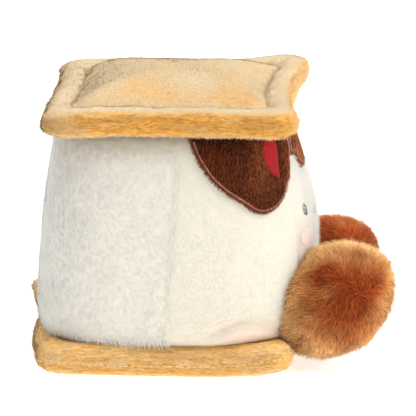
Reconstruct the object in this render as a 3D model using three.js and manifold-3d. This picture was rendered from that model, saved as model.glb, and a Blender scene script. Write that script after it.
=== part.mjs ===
// A stuffed toy s'more, in millimetres. Two square cracker cushions hold a tall marshmallow cushion
// between them, chocolate patches hang from under the upper cracker, and two furry feet stick out in
// front, below an embroidered face.
// +Z is up, the face looks along -Y, and the origin is the middle of the flat that the toy rests on.
import * as THREE from "three";
import { mergeVertices } from "three/addons/utils/BufferGeometryUtils.js";
import Module from "manifold-3d";

const wasm = await Module();
wasm.setup();

// ---- Driving dimensions ----
const CLEARANCE = 0.3; // left between two pieces that touch

// Crackers: square cushions with a topstitched line that parts a fat rim from a puffed middle.
const CRACKER_HALF = 70.5; // from the middle to the edge seam, next to a corner
const CRACKER_CORNER = 11; // radius of the corners
const UPPER_WAISTS = [3, 3, 3, 6]; // how far each side is drawn in at its middle: left, back, right, front
const LOWER_WAISTS = [3, -9, 3, 6]; // the marshmallow pushes the lower cracker's back edge out
const RIM_WIDTH = 16; // from the edge seam to the topstitching
const RIM_HALF_HEIGHT = 7.8;
const STITCH_HALF_HEIGHT = 3.6; // half the thickness left under the topstitching
const EDGE_SEAM_HALF_HEIGHT = 0.8; // half the thickness at the edge seam
const PAD_ROUNDNESS = 3.2; // exponent of the middle's crown: a higher one is flatter on top
const BEND_START = 0.25; // share of the half-width within which the crackers' corners don't bend
const BEND_SHARPNESS = 1.5; // a higher one keeps a bend closer to its corner
const LOWER_MIDDLE_HEIGHT = 8; // of the lower cracker's mid-plane above the floor
const UPPER_MIDDLE_HEIGHT = 144; // of the upper cracker's mid-plane above the floor
const UPPER_CROWN = 18; // from the upper mid-plane to the top of its crown
const PRESSED_CROWN = 5; // from a mid-plane to the side that the marshmallow presses flat
const REST_FLATNESS = 1.9; // how soon the underside's crown meets the floor

// Marshmallow: a cushion that is widest low down and narrower under the upper cracker.
const BODY_BOTTOM = 13.6;
const BODY_TOP = 138.4;
const BELLY_HEIGHT = 60; // where the marshmallow is widest
const BELLY_FRONT = 78.8; // its reach forward at the belly
const BELLY_BACK = 77.3; // its greatest reach back, just above the lower cracker
const BELLY_SIDE = 70;
const FRONT_SQUARENESS = 3; // exponents of its plan outline, in front of the middle and behind it
const BACK_SQUARENESS = 3.8;
const SHOULDER_SHARPNESS = 22; // exponents of the roundings at the top and the bottom
const HEM_SHARPNESS = 8;
const FRONT_TAPER = 0.23; // shares of its reach that it loses towards the top
const BACK_TAPER = 0.156;
const SIDE_TAPER = 0.15;
const FRONT_TAPER_DELAY = 1.35; // exponents: a higher one keeps that side upright for longer
const BACK_TAPER_DELAY = 2.15;

// Chocolate patches: thin padded fabric, on the front and hanging at each side.
const PATCH_THICKNESS = 2.4;
const PATCH_TOP = 137; // inside the upper cracker's underside, where the patches are cut off
const CORNER_BEARING = 58; // of the seams between the front and the sides, in degrees from sideways
const FRONT_PATCH_SIDE_Z = 121; // lower edge of the front patch at those seams
const FRONT_DRIP_Z = 106; // the lowest point of the drip in its middle
const FRONT_DRIP_SPREAD = 0.4; // how wide its curves swing, as a share of the way to the seams
// A side drip's edge, from the upper cracker down to its tip and up the front corner, as distances forward
// and heights. Each bend holds the two points that steer the curve between the places before and after it.
const SIDE_DRIP_START = [10, PATCH_TOP];
const SIDE_DRIP_BACK_BEND = [23, 107, 34, 106];
const SIDE_DRIP_LOW = [46, 96];
const SIDE_DRIP_TIP_BEND = [51, 92, 63.5, 91];
const SIDE_DRIP_END = [64.5, 109];
const SIDE_DRIP_CORNER = [67.5, PATCH_TOP];

// Feet: egg-shaped stubs whose long axis rises forward.
const FOOT_LONG_RADIUS = 40.3;
const FOOT_SHORT_RADIUS = 31.9;
const FOOT_SIDE_RADIUS = 29;
const FOOT_PROFILE_ROUNDNESS = 1.77; // exponents of its outline from the side and from in front: 2 is an
const FOOT_FRONT_ROUNDNESS = 2.3; // ellipse, and a higher one is blunter
const FOOT_RISE = 37.5; // degrees that the long axis rises
const FOOT_SIDE = 36; // its centre, from the middle plane

// The toy is hand-sewn, so its two sides differ. Splay is in degrees, outwards.
const SIDES = {
  left: { side: 1, dripSetback: 5, footForward: 78.1, footHeight: 35.1, footSplay: 5 },
  right: { side: -1, dripSetback: 0, footForward: 89.2, footHeight: 38.8, footSplay: 4 },
};

// Embroidery: raised stitching, laid over the fabric.
const THREAD_HEIGHT = 0.8;
const EYE_RADIUS = 4.2;
const EYE_SIDE = 30;
const EYE_Z = 88.5;
const CHEEK_RADIUS_X = 7;
const CHEEK_RADIUS_Z = 5.5;
const CHEEK_SIDE = 35;
const CHEEK_Z = 75;
const SMILE_RADIUS = 6;
const SMILE_Z = 84;
const SMILE_THREAD = 1.4;
const SMILE_END = 14.4; // degrees below level at which each end of it stops
const HEART_HEIGHT = 24;
const HEART_WIDTH = 20;
const HEART_TIP_Z = 110.8;
const HEART_DIP = 0.78; // shares of its height: the dip between its lobes,
const HEART_LOW_BEND = 0.4; // and the points that bend its curves
const HEART_HIGH_BEND = 1.2;
const HEART_LOW_SWING = 1.3; // shares of its half-width, for the same points
const HEART_HIGH_SWING = 1.2;
const HEART_BEARING = 50; // of its middle, in degrees from sideways

// ---- Materials ----
const material = (color, roughness) => new THREE.MeshStandardMaterial({ color, roughness, metalness: 0 });
const CRACKER_PLUSH = material(0xe3bb7a, 0.95);
const MARSHMALLOW_PLUSH = material(0xf4efe2, 0.95);
const CHOCOLATE_PLUSH = material(0x5b3320, 0.95);
const FOOT_PLUSH = material(0xb8692f, 0.95);
const RED_THREAD = material(0xc4161c, 0.5);
const BLACK_THREAD = material(0x16161a, 0.5);
const PINK_PLUSH = material(0xf3cfc8, 0.95);

// ---- Helpers ----
const PRISM_DEPTH = 110; // past the outside of everything that a prism cuts
const CURVE_STEPS = 10; // in each curve of an outline
const AXIS = new THREE.Vector2(); // the middle of a plan, which its corners turn about
const radians = THREE.MathUtils.degToRad;

// A power that keeps its base's sign.
const signedPower = (base, exponent) => Math.sign(base) * Math.abs(base) ** exponent;

// A closed surface from rings of points, each ring running round +Z. The first and last rings are poles,
// given as one point each, and the rings run from the top down.
function closedSurface(topPole, rings, bottomPole) {
  const around = rings[0].length;
  const points = [topPole, ...rings.flat(), bottomPole];
  const last = points.length - 1;
  const at = (ring, step) => 1 + ring * around + (step % around);
  const faces = [];
  for (let step = 0; step < around; step++) {
    faces.push(0, at(0, step), at(0, step + 1));
    for (let ring = 0; ring + 1 < rings.length; ring++) {
      faces.push(at(ring, step), at(ring + 1, step), at(ring + 1, step + 1));
      faces.push(at(ring, step), at(ring + 1, step + 1), at(ring, step + 1));
    }
    faces.push(at(rings.length - 1, step), last, at(rings.length - 1, step + 1));
  }
  const geometry = new THREE.BufferGeometry().setFromPoints(points);
  geometry.setIndex(faces);
  return geometry;
}

// A copy of a surface with each vertex moved out along its normal.
function grown(geometry, distance) {
  const copy = geometry.clone();
  copy.computeVertexNormals();
  const position = copy.getAttribute("position");
  const normal = copy.getAttribute("normal");
  for (let i = 0; i < position.count; i++) {
    position.setXYZ(
      i,
      position.getX(i) + normal.getX(i) * distance,
      position.getY(i) + normal.getY(i) * distance,
      position.getZ(i) + normal.getZ(i) * distance,
    );
  }
  copy.deleteAttribute("normal");
  return copy;
}

// A closed geometry as a solid that can be cut and joined.
function solid(geometry) {
  const bare = geometry.clone();
  bare.deleteAttribute("normal");
  bare.deleteAttribute("uv");
  const merged = mergeVertices(bare, 1e-4);
  const mesh = new wasm.Mesh({
    numProp: 3,
    vertProperties: merged.getAttribute("position").array,
    triVerts: new Uint32Array(merged.index.array),
  });
  return new wasm.Manifold(mesh);
}

// A solid as a geometry again.
function geometryOf(cut) {
  const mesh = cut.getMesh();
  const geometry = new THREE.BufferGeometry();
  geometry.setAttribute("position", new THREE.BufferAttribute(mesh.vertProperties, 3));
  geometry.setIndex(new THREE.BufferAttribute(mesh.triVerts, 1));
  return geometry;
}

function piece(name, finish, cut) {
  const mesh = new THREE.Mesh(geometryOf(cut), finish);
  mesh.name = name;
  return mesh;
}

// A prism that runs outwards from the middle. Its outline is drawn as it is seen from in front of it: x is
// to the right and y is height. `bearing` is where it faces, in degrees from -Y towards -X.
function facingPrism(outline, bearing) {
  const geometry = new THREE.ExtrudeGeometry(outline, {
    depth: PRISM_DEPTH,
    bevelEnabled: false,
    curveSegments: CURVE_STEPS,
  });
  geometry.rotateX(Math.PI / 2); // the outline stands up, and the prism runs along -Y
  geometry.rotateZ(-radians(bearing));
  return solid(geometry);
}

// ---- Crackers ----
const SIDE_STEPS = 10; // of the outline, along each side and round each corner
const CORNER_STEPS = 5;
const RIM_STEPS = 7;
const PAD_STEPS = 5;
const PAD_SPACING = 0.7; // below 1, the middle's rings are closer together near the stitching

// Half the rim's thickness at a distance in from the edge seam.
function rimHalfHeight(inset) {
  const across = inset / (RIM_WIDTH / 2) - 1; // -1 at the edge seam, 0 at the crest, 1 at the stitching
  const least = across < 0 ? EDGE_SEAM_HALF_HEIGHT : STITCH_HALF_HEIGHT;
  return least + (RIM_HALF_HEIGHT - least) * Math.sqrt(Math.max(0, 1 - across ** 2));
}

// Half the middle's thickness on one side, where `out` is 0 at its middle and 1 at the stitching.
function padHalfHeight(out, crown, flatness) {
  const rise = Math.min(1, flatness * (1 - out ** PAD_ROUNDNESS));
  return STITCH_HALF_HEIGHT + (crown - STITCH_HALF_HEIGHT) * rise;
}

// The edge seam's outline from above: a square with round corners and drawn-in sides.
function crackerOutline(waists) {
  const straight = CRACKER_HALF - CRACKER_CORNER;
  const points = [];
  for (let corner = 0; corner < 4; corner++) {
    const turn = (corner * Math.PI) / 2;
    for (let step = 0; step < SIDE_STEPS; step++) {
      const along = straight * ((2 * step) / SIDE_STEPS - 1);
      const drawnIn = waists[corner] * (1 - (along / straight) ** 2);
      points.push(new THREE.Vector2(CRACKER_HALF - drawnIn, along).rotateAround(AXIS, turn));
    }
    for (let step = 0; step < CORNER_STEPS; step++) {
      const angle = ((step / CORNER_STEPS) * Math.PI) / 2;
      const arc = new THREE.Vector2(Math.cos(angle), Math.sin(angle)).multiplyScalar(CRACKER_CORNER);
      points.push(arc.addScalar(straight).rotateAround(AXIS, turn));
    }
  }
  return points;
}

// How much a corner's bend moves a point: nothing in the middle, and nearly 1 at the corner.
function cornerShare(x, y, corner) {
  const towards = (place, sign) => (place * sign) / CRACKER_HALF - BEND_START;
  const along = Math.max(0, towards(x, corner.x)) * Math.max(0, towards(y, corner.y));
  return (along / (1 - BEND_START) ** 2) ** BEND_SHARPNESS;
}

// One cracker. Each bend is a corner, as signs of x and y, and how far that corner is pushed.
function crackerSurface({ middle, waists, upperCrown, upperFlatness, lowerCrown, lowerFlatness, bends }) {
  const ring = (inset, height) =>
    crackerOutline(waists).map((seam) => {
      const { x, y } = seam.multiplyScalar(1 - inset / CRACKER_HALF);
      const point = new THREE.Vector3(x, y, middle + height);
      for (const bend of bends) {
        point.addScaledVector(bend.push, cornerShare(x, y, bend));
      }
      return point;
    });
  const side = (sign, crown, flatness) => {
    const rings = [];
    const padHalf = CRACKER_HALF - RIM_WIDTH;
    for (let step = 1; step <= PAD_STEPS; step++) {
      const out = (step / PAD_STEPS) ** PAD_SPACING;
      rings.push(ring(CRACKER_HALF - out * padHalf, sign * padHalfHeight(out, crown, flatness)));
    }
    for (let step = 1; step <= RIM_STEPS; step++) {
      const inset = (RIM_WIDTH / 2) * (1 + Math.cos((step / RIM_STEPS) * Math.PI));
      rings.push(ring(inset, sign * rimHalfHeight(inset)));
    }
    return rings;
  };
  const above = side(1, upperCrown, upperFlatness);
  const below = side(-1, lowerCrown, lowerFlatness);
  return closedSurface(
    new THREE.Vector3(0, 0, middle + upperCrown),
    [...above, ...below.reverse()],
    new THREE.Vector3(0, 0, middle - lowerCrown),
  );
}

const upperCrackerSurface = crackerSurface({
  middle: UPPER_MIDDLE_HEIGHT,
  waists: UPPER_WAISTS,
  upperCrown: UPPER_CROWN,
  upperFlatness: 1,
  lowerCrown: PRESSED_CROWN,
  lowerFlatness: 1,
  bends: [
    { x: 1, y: -1, push: new THREE.Vector3(0, 0, 5.5) },
    { x: 1, y: 1, push: new THREE.Vector3(0, 0, -1) },
    { x: -1, y: 1, push: new THREE.Vector3(0, -1, -1.8) },
    { x: -1, y: -1, push: new THREE.Vector3(0, 0, 0.5) },
  ],
});
const lowerCrackerSurface = crackerSurface({
  middle: LOWER_MIDDLE_HEIGHT,
  waists: LOWER_WAISTS,
  upperCrown: PRESSED_CROWN,
  upperFlatness: 1,
  lowerCrown: LOWER_MIDDLE_HEIGHT,
  lowerFlatness: REST_FLATNESS,
  bends: [
    { x: 1, y: 1, push: new THREE.Vector3(0, 24, 10) },
    { x: -1, y: 1, push: new THREE.Vector3(0, 3, 2) },
    { x: -1, y: -1, push: new THREE.Vector3(0, 2.5, 7) },
    { x: 1, y: -1, push: new THREE.Vector3(0, 2.5, 4) },
  ],
});

// ---- Marshmallow ----
const AROUND_BODY = 60;
const BODY_LEVELS = 20;
const BODY_CAP_RINGS = 2;
const BODY_END = 0.004; // of the height, left off so that the first and last levels keep some width

// How far the marshmallow reaches at a height, as forward, backward and sideways radii.
function bodyReach(z) {
  const up = Math.max(0, (z - BELLY_HEIGHT) / (BODY_TOP - BELLY_HEIGHT));
  const down = Math.max(0, (BELLY_HEIGHT - z) / (BELLY_HEIGHT - BODY_BOTTOM));
  const rounding = ((1 - up ** SHOULDER_SHARPNESS) * (1 - down ** HEM_SHARPNESS)) ** (1 / 4);
  const rise = (z - BODY_BOTTOM) / (BODY_TOP - BODY_BOTTOM);
  const leanBack = (1 - Math.cos(up ** FRONT_TAPER_DELAY * Math.PI)) / 2;
  return {
    front: BELLY_FRONT * (1 - FRONT_TAPER * leanBack) * rounding,
    back: BELLY_BACK * (1 - BACK_TAPER * rise ** BACK_TAPER_DELAY) * rounding,
    side: BELLY_SIDE * (1 - SIDE_TAPER * up ** 2) * rounding,
  };
}

function bodySurface() {
  const ring = (z, share) => {
    const reach = bodyReach(z);
    return Array.from({ length: AROUND_BODY }, (_, step) => {
      const angle = (step / AROUND_BODY) * 2 * Math.PI;
      const behind = Math.sin(angle) > 0;
      const squareness = behind ? BACK_SQUARENESS : FRONT_SQUARENESS;
      const cos = signedPower(Math.cos(angle), 2 / squareness);
      const sin = signedPower(Math.sin(angle), 2 / squareness);
      const along = behind ? reach.back : reach.front;
      return new THREE.Vector3(share * reach.side * cos, share * along * sin, z);
    });
  };
  const levels = [];
  for (let level = 0; level <= BODY_LEVELS; level++) {
    const share = (1 - Math.cos((level / BODY_LEVELS) * Math.PI)) / 2; // closer together at the ends
    levels.push(BODY_TOP - (BODY_END + share * (1 - 2 * BODY_END)) * (BODY_TOP - BODY_BOTTOM));
  }
  const rings = levels.map((z) => ring(z, 1));
  for (let cap = BODY_CAP_RINGS - 1; cap > 0; cap--) {
    rings.unshift(ring(levels[0], cap / BODY_CAP_RINGS));
    rings.push(ring(levels.at(-1), cap / BODY_CAP_RINGS));
  }
  return closedSurface(
    new THREE.Vector3(0, 0, levels[0]),
    rings,
    new THREE.Vector3(0, 0, levels.at(-1)),
  );
}

const marshmallow = bodySurface();
const marshmallowSolid = solid(marshmallow);
const nearMarshmallow = solid(grown(marshmallow, CLEARANCE));

// A skin that lies on the marshmallow between two heights above its surface.
function skin(inner, outer) {
  return solid(grown(marshmallow, outer)).subtract(solid(grown(marshmallow, inner)));
}

const upperCracker = solid(upperCrackerSurface).subtract(nearMarshmallow);
const lowerCracker = solid(lowerCrackerSurface).subtract(nearMarshmallow);
const nearUpperCracker = solid(grown(upperCrackerSurface, CLEARANCE));
const nearLowerCracker = solid(grown(lowerCrackerSurface, CLEARANCE));

// ---- Chocolate ----
const patchSkin = skin(CLEARANCE, CLEARANCE + PATCH_THICKNESS).subtract(nearUpperCracker);

// The space in front of both corner seams. Its sides stand `behind` millimetres behind the seams, or in
// front of them where that is below 0.
function frontWedge(behind) {
  const corner = radians(CORNER_BEARING);
  const apex = behind / Math.cos(corner);
  const reach = PRISM_DEPTH * 2;
  const plan = new THREE.Shape();
  plan.moveTo(0, apex);
  plan.lineTo(-Math.cos(corner) * reach, apex - Math.sin(corner) * reach);
  plan.lineTo(Math.cos(corner) * reach, apex - Math.sin(corner) * reach);
  return solid(new THREE.ExtrudeGeometry(plan, { depth: UPPER_MIDDLE_HEIGHT, bevelEnabled: false }));
}

// The front patch: a band with a drip in its middle.
function frontPatch() {
  const half = BELLY_SIDE;
  const seam = BELLY_FRONT / Math.tan(radians(CORNER_BEARING));
  const swing = seam * FRONT_DRIP_SPREAD;
  const outline = new THREE.Shape();
  outline.moveTo(-half, PATCH_TOP);
  outline.lineTo(-half, FRONT_PATCH_SIDE_Z);
  outline.lineTo(-seam, FRONT_PATCH_SIDE_Z);
  outline.bezierCurveTo(-swing, FRONT_PATCH_SIDE_Z, -swing, FRONT_DRIP_Z, 0, FRONT_DRIP_Z);
  outline.bezierCurveTo(swing, FRONT_DRIP_Z, swing, FRONT_PATCH_SIDE_Z, seam, FRONT_PATCH_SIDE_Z);
  outline.lineTo(half, FRONT_PATCH_SIDE_Z);
  outline.lineTo(half, PATCH_TOP);
  return patchSkin.intersect(facingPrism(outline, 0)).intersect(frontWedge(-CLEARANCE));
}

// A side patch: a drip that hangs lowest near the front corner and runs up to the cracker behind. `side`
// is 1 on the toy's left and -1 on its right.
function sidePatch({ side, dripSetback }) {
  const drip = new THREE.Path(); // its x is the distance forward
  drip.moveTo(...SIDE_DRIP_START);
  drip.bezierCurveTo(...SIDE_DRIP_BACK_BEND, ...SIDE_DRIP_LOW);
  drip.bezierCurveTo(...SIDE_DRIP_TIP_BEND, ...SIDE_DRIP_END);
  drip.lineTo(...SIDE_DRIP_CORNER);
  // Seen from in front of it, forward is to the right on the toy's right side, and to the left on its left.
  const seen = drip.getPoints(CURVE_STEPS).map(({ x, y }) => new THREE.Vector2(side * (dripSetback - x), y));
  const prism = facingPrism(new THREE.Shape(seen), -side * 90);
  return patchSkin.intersect(prism).subtract(frontWedge(CLEARANCE));
}

// The heart on the right-hand drip, embroidered over the chocolate.
function heart() {
  const half = HEART_WIDTH / 2;
  const dip = HEART_TIP_Z + HEART_HEIGHT * HEART_DIP;
  const low = HEART_TIP_Z + HEART_HEIGHT * HEART_LOW_BEND;
  const high = HEART_TIP_Z + HEART_HEIGHT * HEART_HIGH_BEND;
  const lowSwing = half * HEART_LOW_SWING;
  const highSwing = half * HEART_HIGH_SWING;
  const outline = new THREE.Shape();
  outline.moveTo(0, HEART_TIP_Z);
  outline.bezierCurveTo(-lowSwing, low, -highSwing, high, 0, dip);
  outline.bezierCurveTo(highSwing, high, lowSwing, low, 0, HEART_TIP_Z);
  const below = CLEARANCE + PATCH_THICKNESS + CLEARANCE;
  return skin(below, below + THREAD_HEIGHT)
    .subtract(nearUpperCracker)
    .intersect(facingPrism(outline, 90 - HEART_BEARING));
}

// ---- Face ----
const threadSkin = skin(CLEARANCE, CLEARANCE + THREAD_HEIGHT);

function ovalOnFace(x, z, radiusX, radiusZ) {
  const outline = new THREE.Shape();
  outline.absellipse(x, z, radiusX, radiusZ, 0, 2 * Math.PI, false);
  return threadSkin.intersect(facingPrism(outline, 0));
}

function smile() {
  const start = radians(180 + SMILE_END);
  const end = radians(360 - SMILE_END);
  const outline = new THREE.Shape();
  outline.absarc(0, SMILE_Z, SMILE_RADIUS, start, end, false);
  outline.absarc(0, SMILE_Z, SMILE_RADIUS - SMILE_THREAD, end, start, true);
  return threadSkin.intersect(facingPrism(outline, 0));
}

// ---- Feet ----
const AROUND_FOOT = 32;
const FOOT_LEVELS = 16;

function foot({ side, footForward, footHeight, footSplay }) {
  const profile = (value) => signedPower(value, 2 / FOOT_PROFILE_ROUNDNESS);
  const sideways = (value) => signedPower(value, 2 / FOOT_FRONT_ROUNDNESS);
  const rings = [];
  for (let level = 1; level < FOOT_LEVELS; level++) {
    const tilt = (level / FOOT_LEVELS) * Math.PI;
    rings.push(
      Array.from({ length: AROUND_FOOT }, (_, step) => {
        const angle = (step / AROUND_FOOT) * 2 * Math.PI;
        return new THREE.Vector3(
          sideways(Math.sin(tilt)) * profile(Math.cos(angle)) * FOOT_LONG_RADIUS,
          sideways(Math.sin(tilt)) * profile(Math.sin(angle)) * FOOT_SHORT_RADIUS,
          sideways(Math.cos(tilt)) * FOOT_SIDE_RADIUS,
        );
      }),
    );
  }
  const egg = closedSurface(
    new THREE.Vector3(0, 0, FOOT_SIDE_RADIUS),
    rings,
    new THREE.Vector3(0, 0, -FOOT_SIDE_RADIUS),
  );
  egg.rotateY(-Math.PI / 2); // its long axis stands up
  egg.rotateX(radians(90 - FOOT_RISE)); // and leans forward
  egg.rotateZ(radians(side * footSplay));
  egg.translate(side * FOOT_SIDE, -footForward, footHeight);
  return solid(egg).subtract(nearMarshmallow).subtract(nearLowerCracker);
}

// ---- The toy ----
const toy = new THREE.Group();
toy.add(
  piece("cracker_upper", CRACKER_PLUSH, upperCracker),
  piece("cracker_lower", CRACKER_PLUSH, lowerCracker),
  piece("marshmallow", MARSHMALLOW_PLUSH, marshmallowSolid),
  piece("chocolate_front", CHOCOLATE_PLUSH, frontPatch()),
  piece("heart", RED_THREAD, heart()),
  piece("smile", BLACK_THREAD, smile()),
);
for (const [word, half] of Object.entries(SIDES)) {
  const { side } = half;
  toy.add(
    piece(`chocolate_${word}`, CHOCOLATE_PLUSH, sidePatch(half)),
    piece(`foot_${word}`, FOOT_PLUSH, foot(half)),
    piece(`eye_${word}`, BLACK_THREAD, ovalOnFace(side * EYE_SIDE, EYE_Z, EYE_RADIUS, EYE_RADIUS)),
    piece(
      `cheek_${word}`,
      PINK_PLUSH,
      ovalOnFace(side * CHEEK_SIDE, CHEEK_Z, CHEEK_RADIUS_X, CHEEK_RADIUS_Z),
    ),
  );
}

export default toy;
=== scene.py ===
"""The looks of a stuffed toy smore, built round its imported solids.

Two square cracker cushions hold a tall marshmallow cushion. Chocolate panels hang from under the upper
cracker, a heart is embroidered on one of them, and two furry feet stick out below an embroidered face.
+Z is up and the face looks along -Y. Sizes are in millimetres until a mesh is made, which is in metres.
"""

from __future__ import annotations

import logging
import math
from dataclasses import dataclass, field, replace
from enum import Enum
from typing import Any, Callable, Sequence

import bpy
import numpy as np
from mathutils import Matrix, Vector
from mathutils.bvhtree import BVHTree

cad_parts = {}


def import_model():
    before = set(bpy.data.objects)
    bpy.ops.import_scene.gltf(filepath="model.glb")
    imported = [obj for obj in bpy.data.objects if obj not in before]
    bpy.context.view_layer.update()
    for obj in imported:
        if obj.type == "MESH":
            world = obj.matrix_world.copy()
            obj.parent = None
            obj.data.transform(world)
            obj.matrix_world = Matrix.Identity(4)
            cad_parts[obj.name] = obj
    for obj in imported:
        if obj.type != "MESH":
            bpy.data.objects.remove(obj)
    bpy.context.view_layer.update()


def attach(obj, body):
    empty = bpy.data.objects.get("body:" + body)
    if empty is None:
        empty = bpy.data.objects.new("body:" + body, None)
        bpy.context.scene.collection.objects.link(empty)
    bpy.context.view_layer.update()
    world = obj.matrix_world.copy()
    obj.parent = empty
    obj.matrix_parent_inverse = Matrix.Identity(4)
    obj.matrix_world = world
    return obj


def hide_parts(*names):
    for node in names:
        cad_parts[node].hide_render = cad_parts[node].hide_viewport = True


LOG = logging.getLogger("smore")
MM = 0.001
BODY = "root"
UV_MAP = "OFBake"
FLOOR_CLEARANCE = 0.1  # mm between the lowest fibre and the floor
Array = np.ndarray
Colour = tuple[int, int, int]
Triple = tuple[float, float, float]
DOWN = np.array([0.0, 0.0, -1.0])


# ---- Small helpers ----
def ramp(start: float, end: float, value: Array) -> Array:
    """A smooth step that is 0 at start and 1 at end.

    Args:
        start: Where the step begins.
        end: Where it ends, above or below start.
        value: What is tested.

    Returns:
        The step's height for each value.
    """
    share = np.clip((value - start) / (end - start), 0.0, 1.0)
    return share * share * (3 - 2 * share)


def bump(middle: float, width: float, value: Array) -> Array:
    """A smooth hill, 1 at its middle, that has sunk to a third one width away."""
    return np.exp(-(((value - middle) / width) ** 2))


def unit(vectors: Array) -> Array:
    """The same vectors with length 1."""
    return vectors / np.maximum(np.linalg.norm(vectors, axis=-1, keepdims=True), 1e-9)


def flattened(vectors: Array, normals: Array) -> Array:
    """The part of each vector that lies along the surface."""
    return vectors - normals * (vectors * normals).sum(-1, keepdims=True)


def signed_power(base: Array, exponent: float) -> Array:
    """A power that keeps its base's sign."""
    return np.sign(base) * np.abs(base) ** exponent


def linear(colour: Colour) -> tuple[float, float, float, float]:
    """A screen colour, 0 to 255, as the linear colour that a shader takes.

    Args:
        colour: Red, green and blue.

    Returns:
        Red, green, blue and opacity.
    """
    parts = (part / 255 for part in colour)
    red, green, blue = (
        part / 12.92 if part <= 0.04045 else ((part + 0.055) / 1.055) ** 2.4 for part in parts
    )
    return red, green, blue, 1.0


def bezier(points: Sequence[Sequence[float]], steps: int) -> Array:
    """A cubic curve through the first and last of four points, without its first point.

    Args:
        points: The four control points.
        steps: How many points are returned.

    Returns:
        Points on the curve, one row each.
    """
    share = (np.arange(1, steps + 1) / steps)[:, None]
    first, second, third, last = (np.asarray(point, float) for point in points)
    rest = 1 - share
    return rest**3 * first + 3 * rest**2 * share * second + 3 * rest * share**2 * third + share**3 * last


def evenly(points: Array, count: int, closed: bool = True) -> Array:
    """Points spaced evenly along a polyline.

    Args:
        points: The polyline's corners, one row each.
        count: How many points are wanted.
        closed: Whether the polyline runs back to its first corner.

    Returns:
        The new points. A closed line doesn't repeat its first one.
    """
    line = np.vstack([points, points[:1]]) if closed else points
    along = np.concatenate([[0], np.cumsum(np.linalg.norm(np.diff(line, axis=0), axis=1))])
    wanted = np.linspace(0, along[-1], count, endpoint=not closed)
    return np.stack([np.interp(wanted, along, line[:, axis]) for axis in range(line.shape[1])], axis=1)


class Waves:
    """Smooth random relief: plane waves of about one length, in seeded directions."""

    COUNT = 26

    def __init__(self, seed: int, length: float | Triple) -> None:
        """Draws the waves.

        Args:
            seed: Of the random draw.
            length: The wavelength in mm, or one for each axis.
        """
        draw = np.random.default_rng(seed)
        aims = unit(draw.normal(size=(self.COUNT, 3)))
        stretch = draw.uniform(0.6, 1.4, (self.COUNT, 1))
        self.vectors = aims * stretch * 2 * math.pi / np.asarray(length, float)
        self.phases = draw.uniform(0, 2 * math.pi, self.COUNT)

    def __call__(self, points: Array) -> Array:
        """The relief at each point, mostly between -2 and 2."""
        waves = np.cos(points @ self.vectors.T + self.phases)
        return waves.sum(-1) * math.sqrt(2 / self.COUNT)


def placed(name: str, data: Any) -> bpy.types.Object:
    """A new object in the scene.

    Args:
        name: Of the object.
        data: Its mesh, light or camera.

    Returns:
        The object.
    """
    made = bpy.data.objects.new(name, data)
    bpy.context.scene.collection.objects.link(made)
    return made


# ---- Node trees ----
class Wiring:
    """A node tree with short calls for adding and joining its nodes."""

    def __init__(self, tree: bpy.types.NodeTree) -> None:
        """Takes the tree to work on."""
        self.tree = tree

    def add(self, kind: str, inputs: dict[str | int, Any] | None = None, **settings: Any) -> Any:
        """Adds a node.

        Args:
            kind: The node's type.
            inputs: A value or another node's output for each input, by name or number.
            **settings: The node's own properties.

        Returns:
            The node.
        """
        node = self.tree.nodes.new(kind)
        for name, value in settings.items():
            setattr(node, name, value)
        self.feed(node, inputs or {})
        return node

    def feed(self, node: Any, inputs: dict[str | int, Any]) -> None:
        """Sets a node's inputs, or joins other nodes' outputs to them.

        Args:
            node: The node.
            inputs: A value or another node's output for each input.
        """
        for socket, value in inputs.items():
            if isinstance(value, bpy.types.NodeSocket):
                self.tree.links.new(value, node.inputs[socket])
            else:
                node.inputs[socket].default_value = value

    def math(self, operation: str, *values: Any) -> Any:
        """A Math node's result."""
        return self.add("ShaderNodeMath", dict(enumerate(values)), operation=operation).outputs[0]

    def vector(self, operation: str, *values: Any, scale: Any = None) -> Any:
        """A Vector Math node's result.

        Args:
            operation: What is worked out.
            values: What it works on.
            scale: The factor, for a scaling.

        Returns:
            The node's output.
        """
        inputs: dict[str | int, Any] = dict(enumerate(values))
        if scale is not None:
            inputs["Scale"] = scale
        return self.add("ShaderNodeVectorMath", inputs, operation=operation).outputs[0]

    def attribute(self, name: str) -> Any:
        """A surface attribute's number, in a material."""
        return self.add("ShaderNodeAttribute", attribute_name=name).outputs["Fac"]

    def centred(self, value: Any) -> Any:
        """Twice a number's distance above a half."""
        return self.math("MULTIPLY_ADD", value, 2.0, -1.0)

    def mix(self, share: Any, first: Any, second: Any) -> Any:
        """A blend of two colours."""
        return self.add("ShaderNodeMix", {0: share, 6: first, 7: second}, data_type="RGBA").outputs[2]


def new_material(name: str) -> tuple[bpy.types.Material, Wiring, Any]:
    """A material, with its wiring and its shader.

    Args:
        name: Of the material.

    Returns:
        The material, its wiring and its shader node.
    """
    material = bpy.data.materials.new(name)
    material.use_nodes = True
    return material, Wiring(material.node_tree), material.node_tree.nodes["Principled BSDF"]


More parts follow.
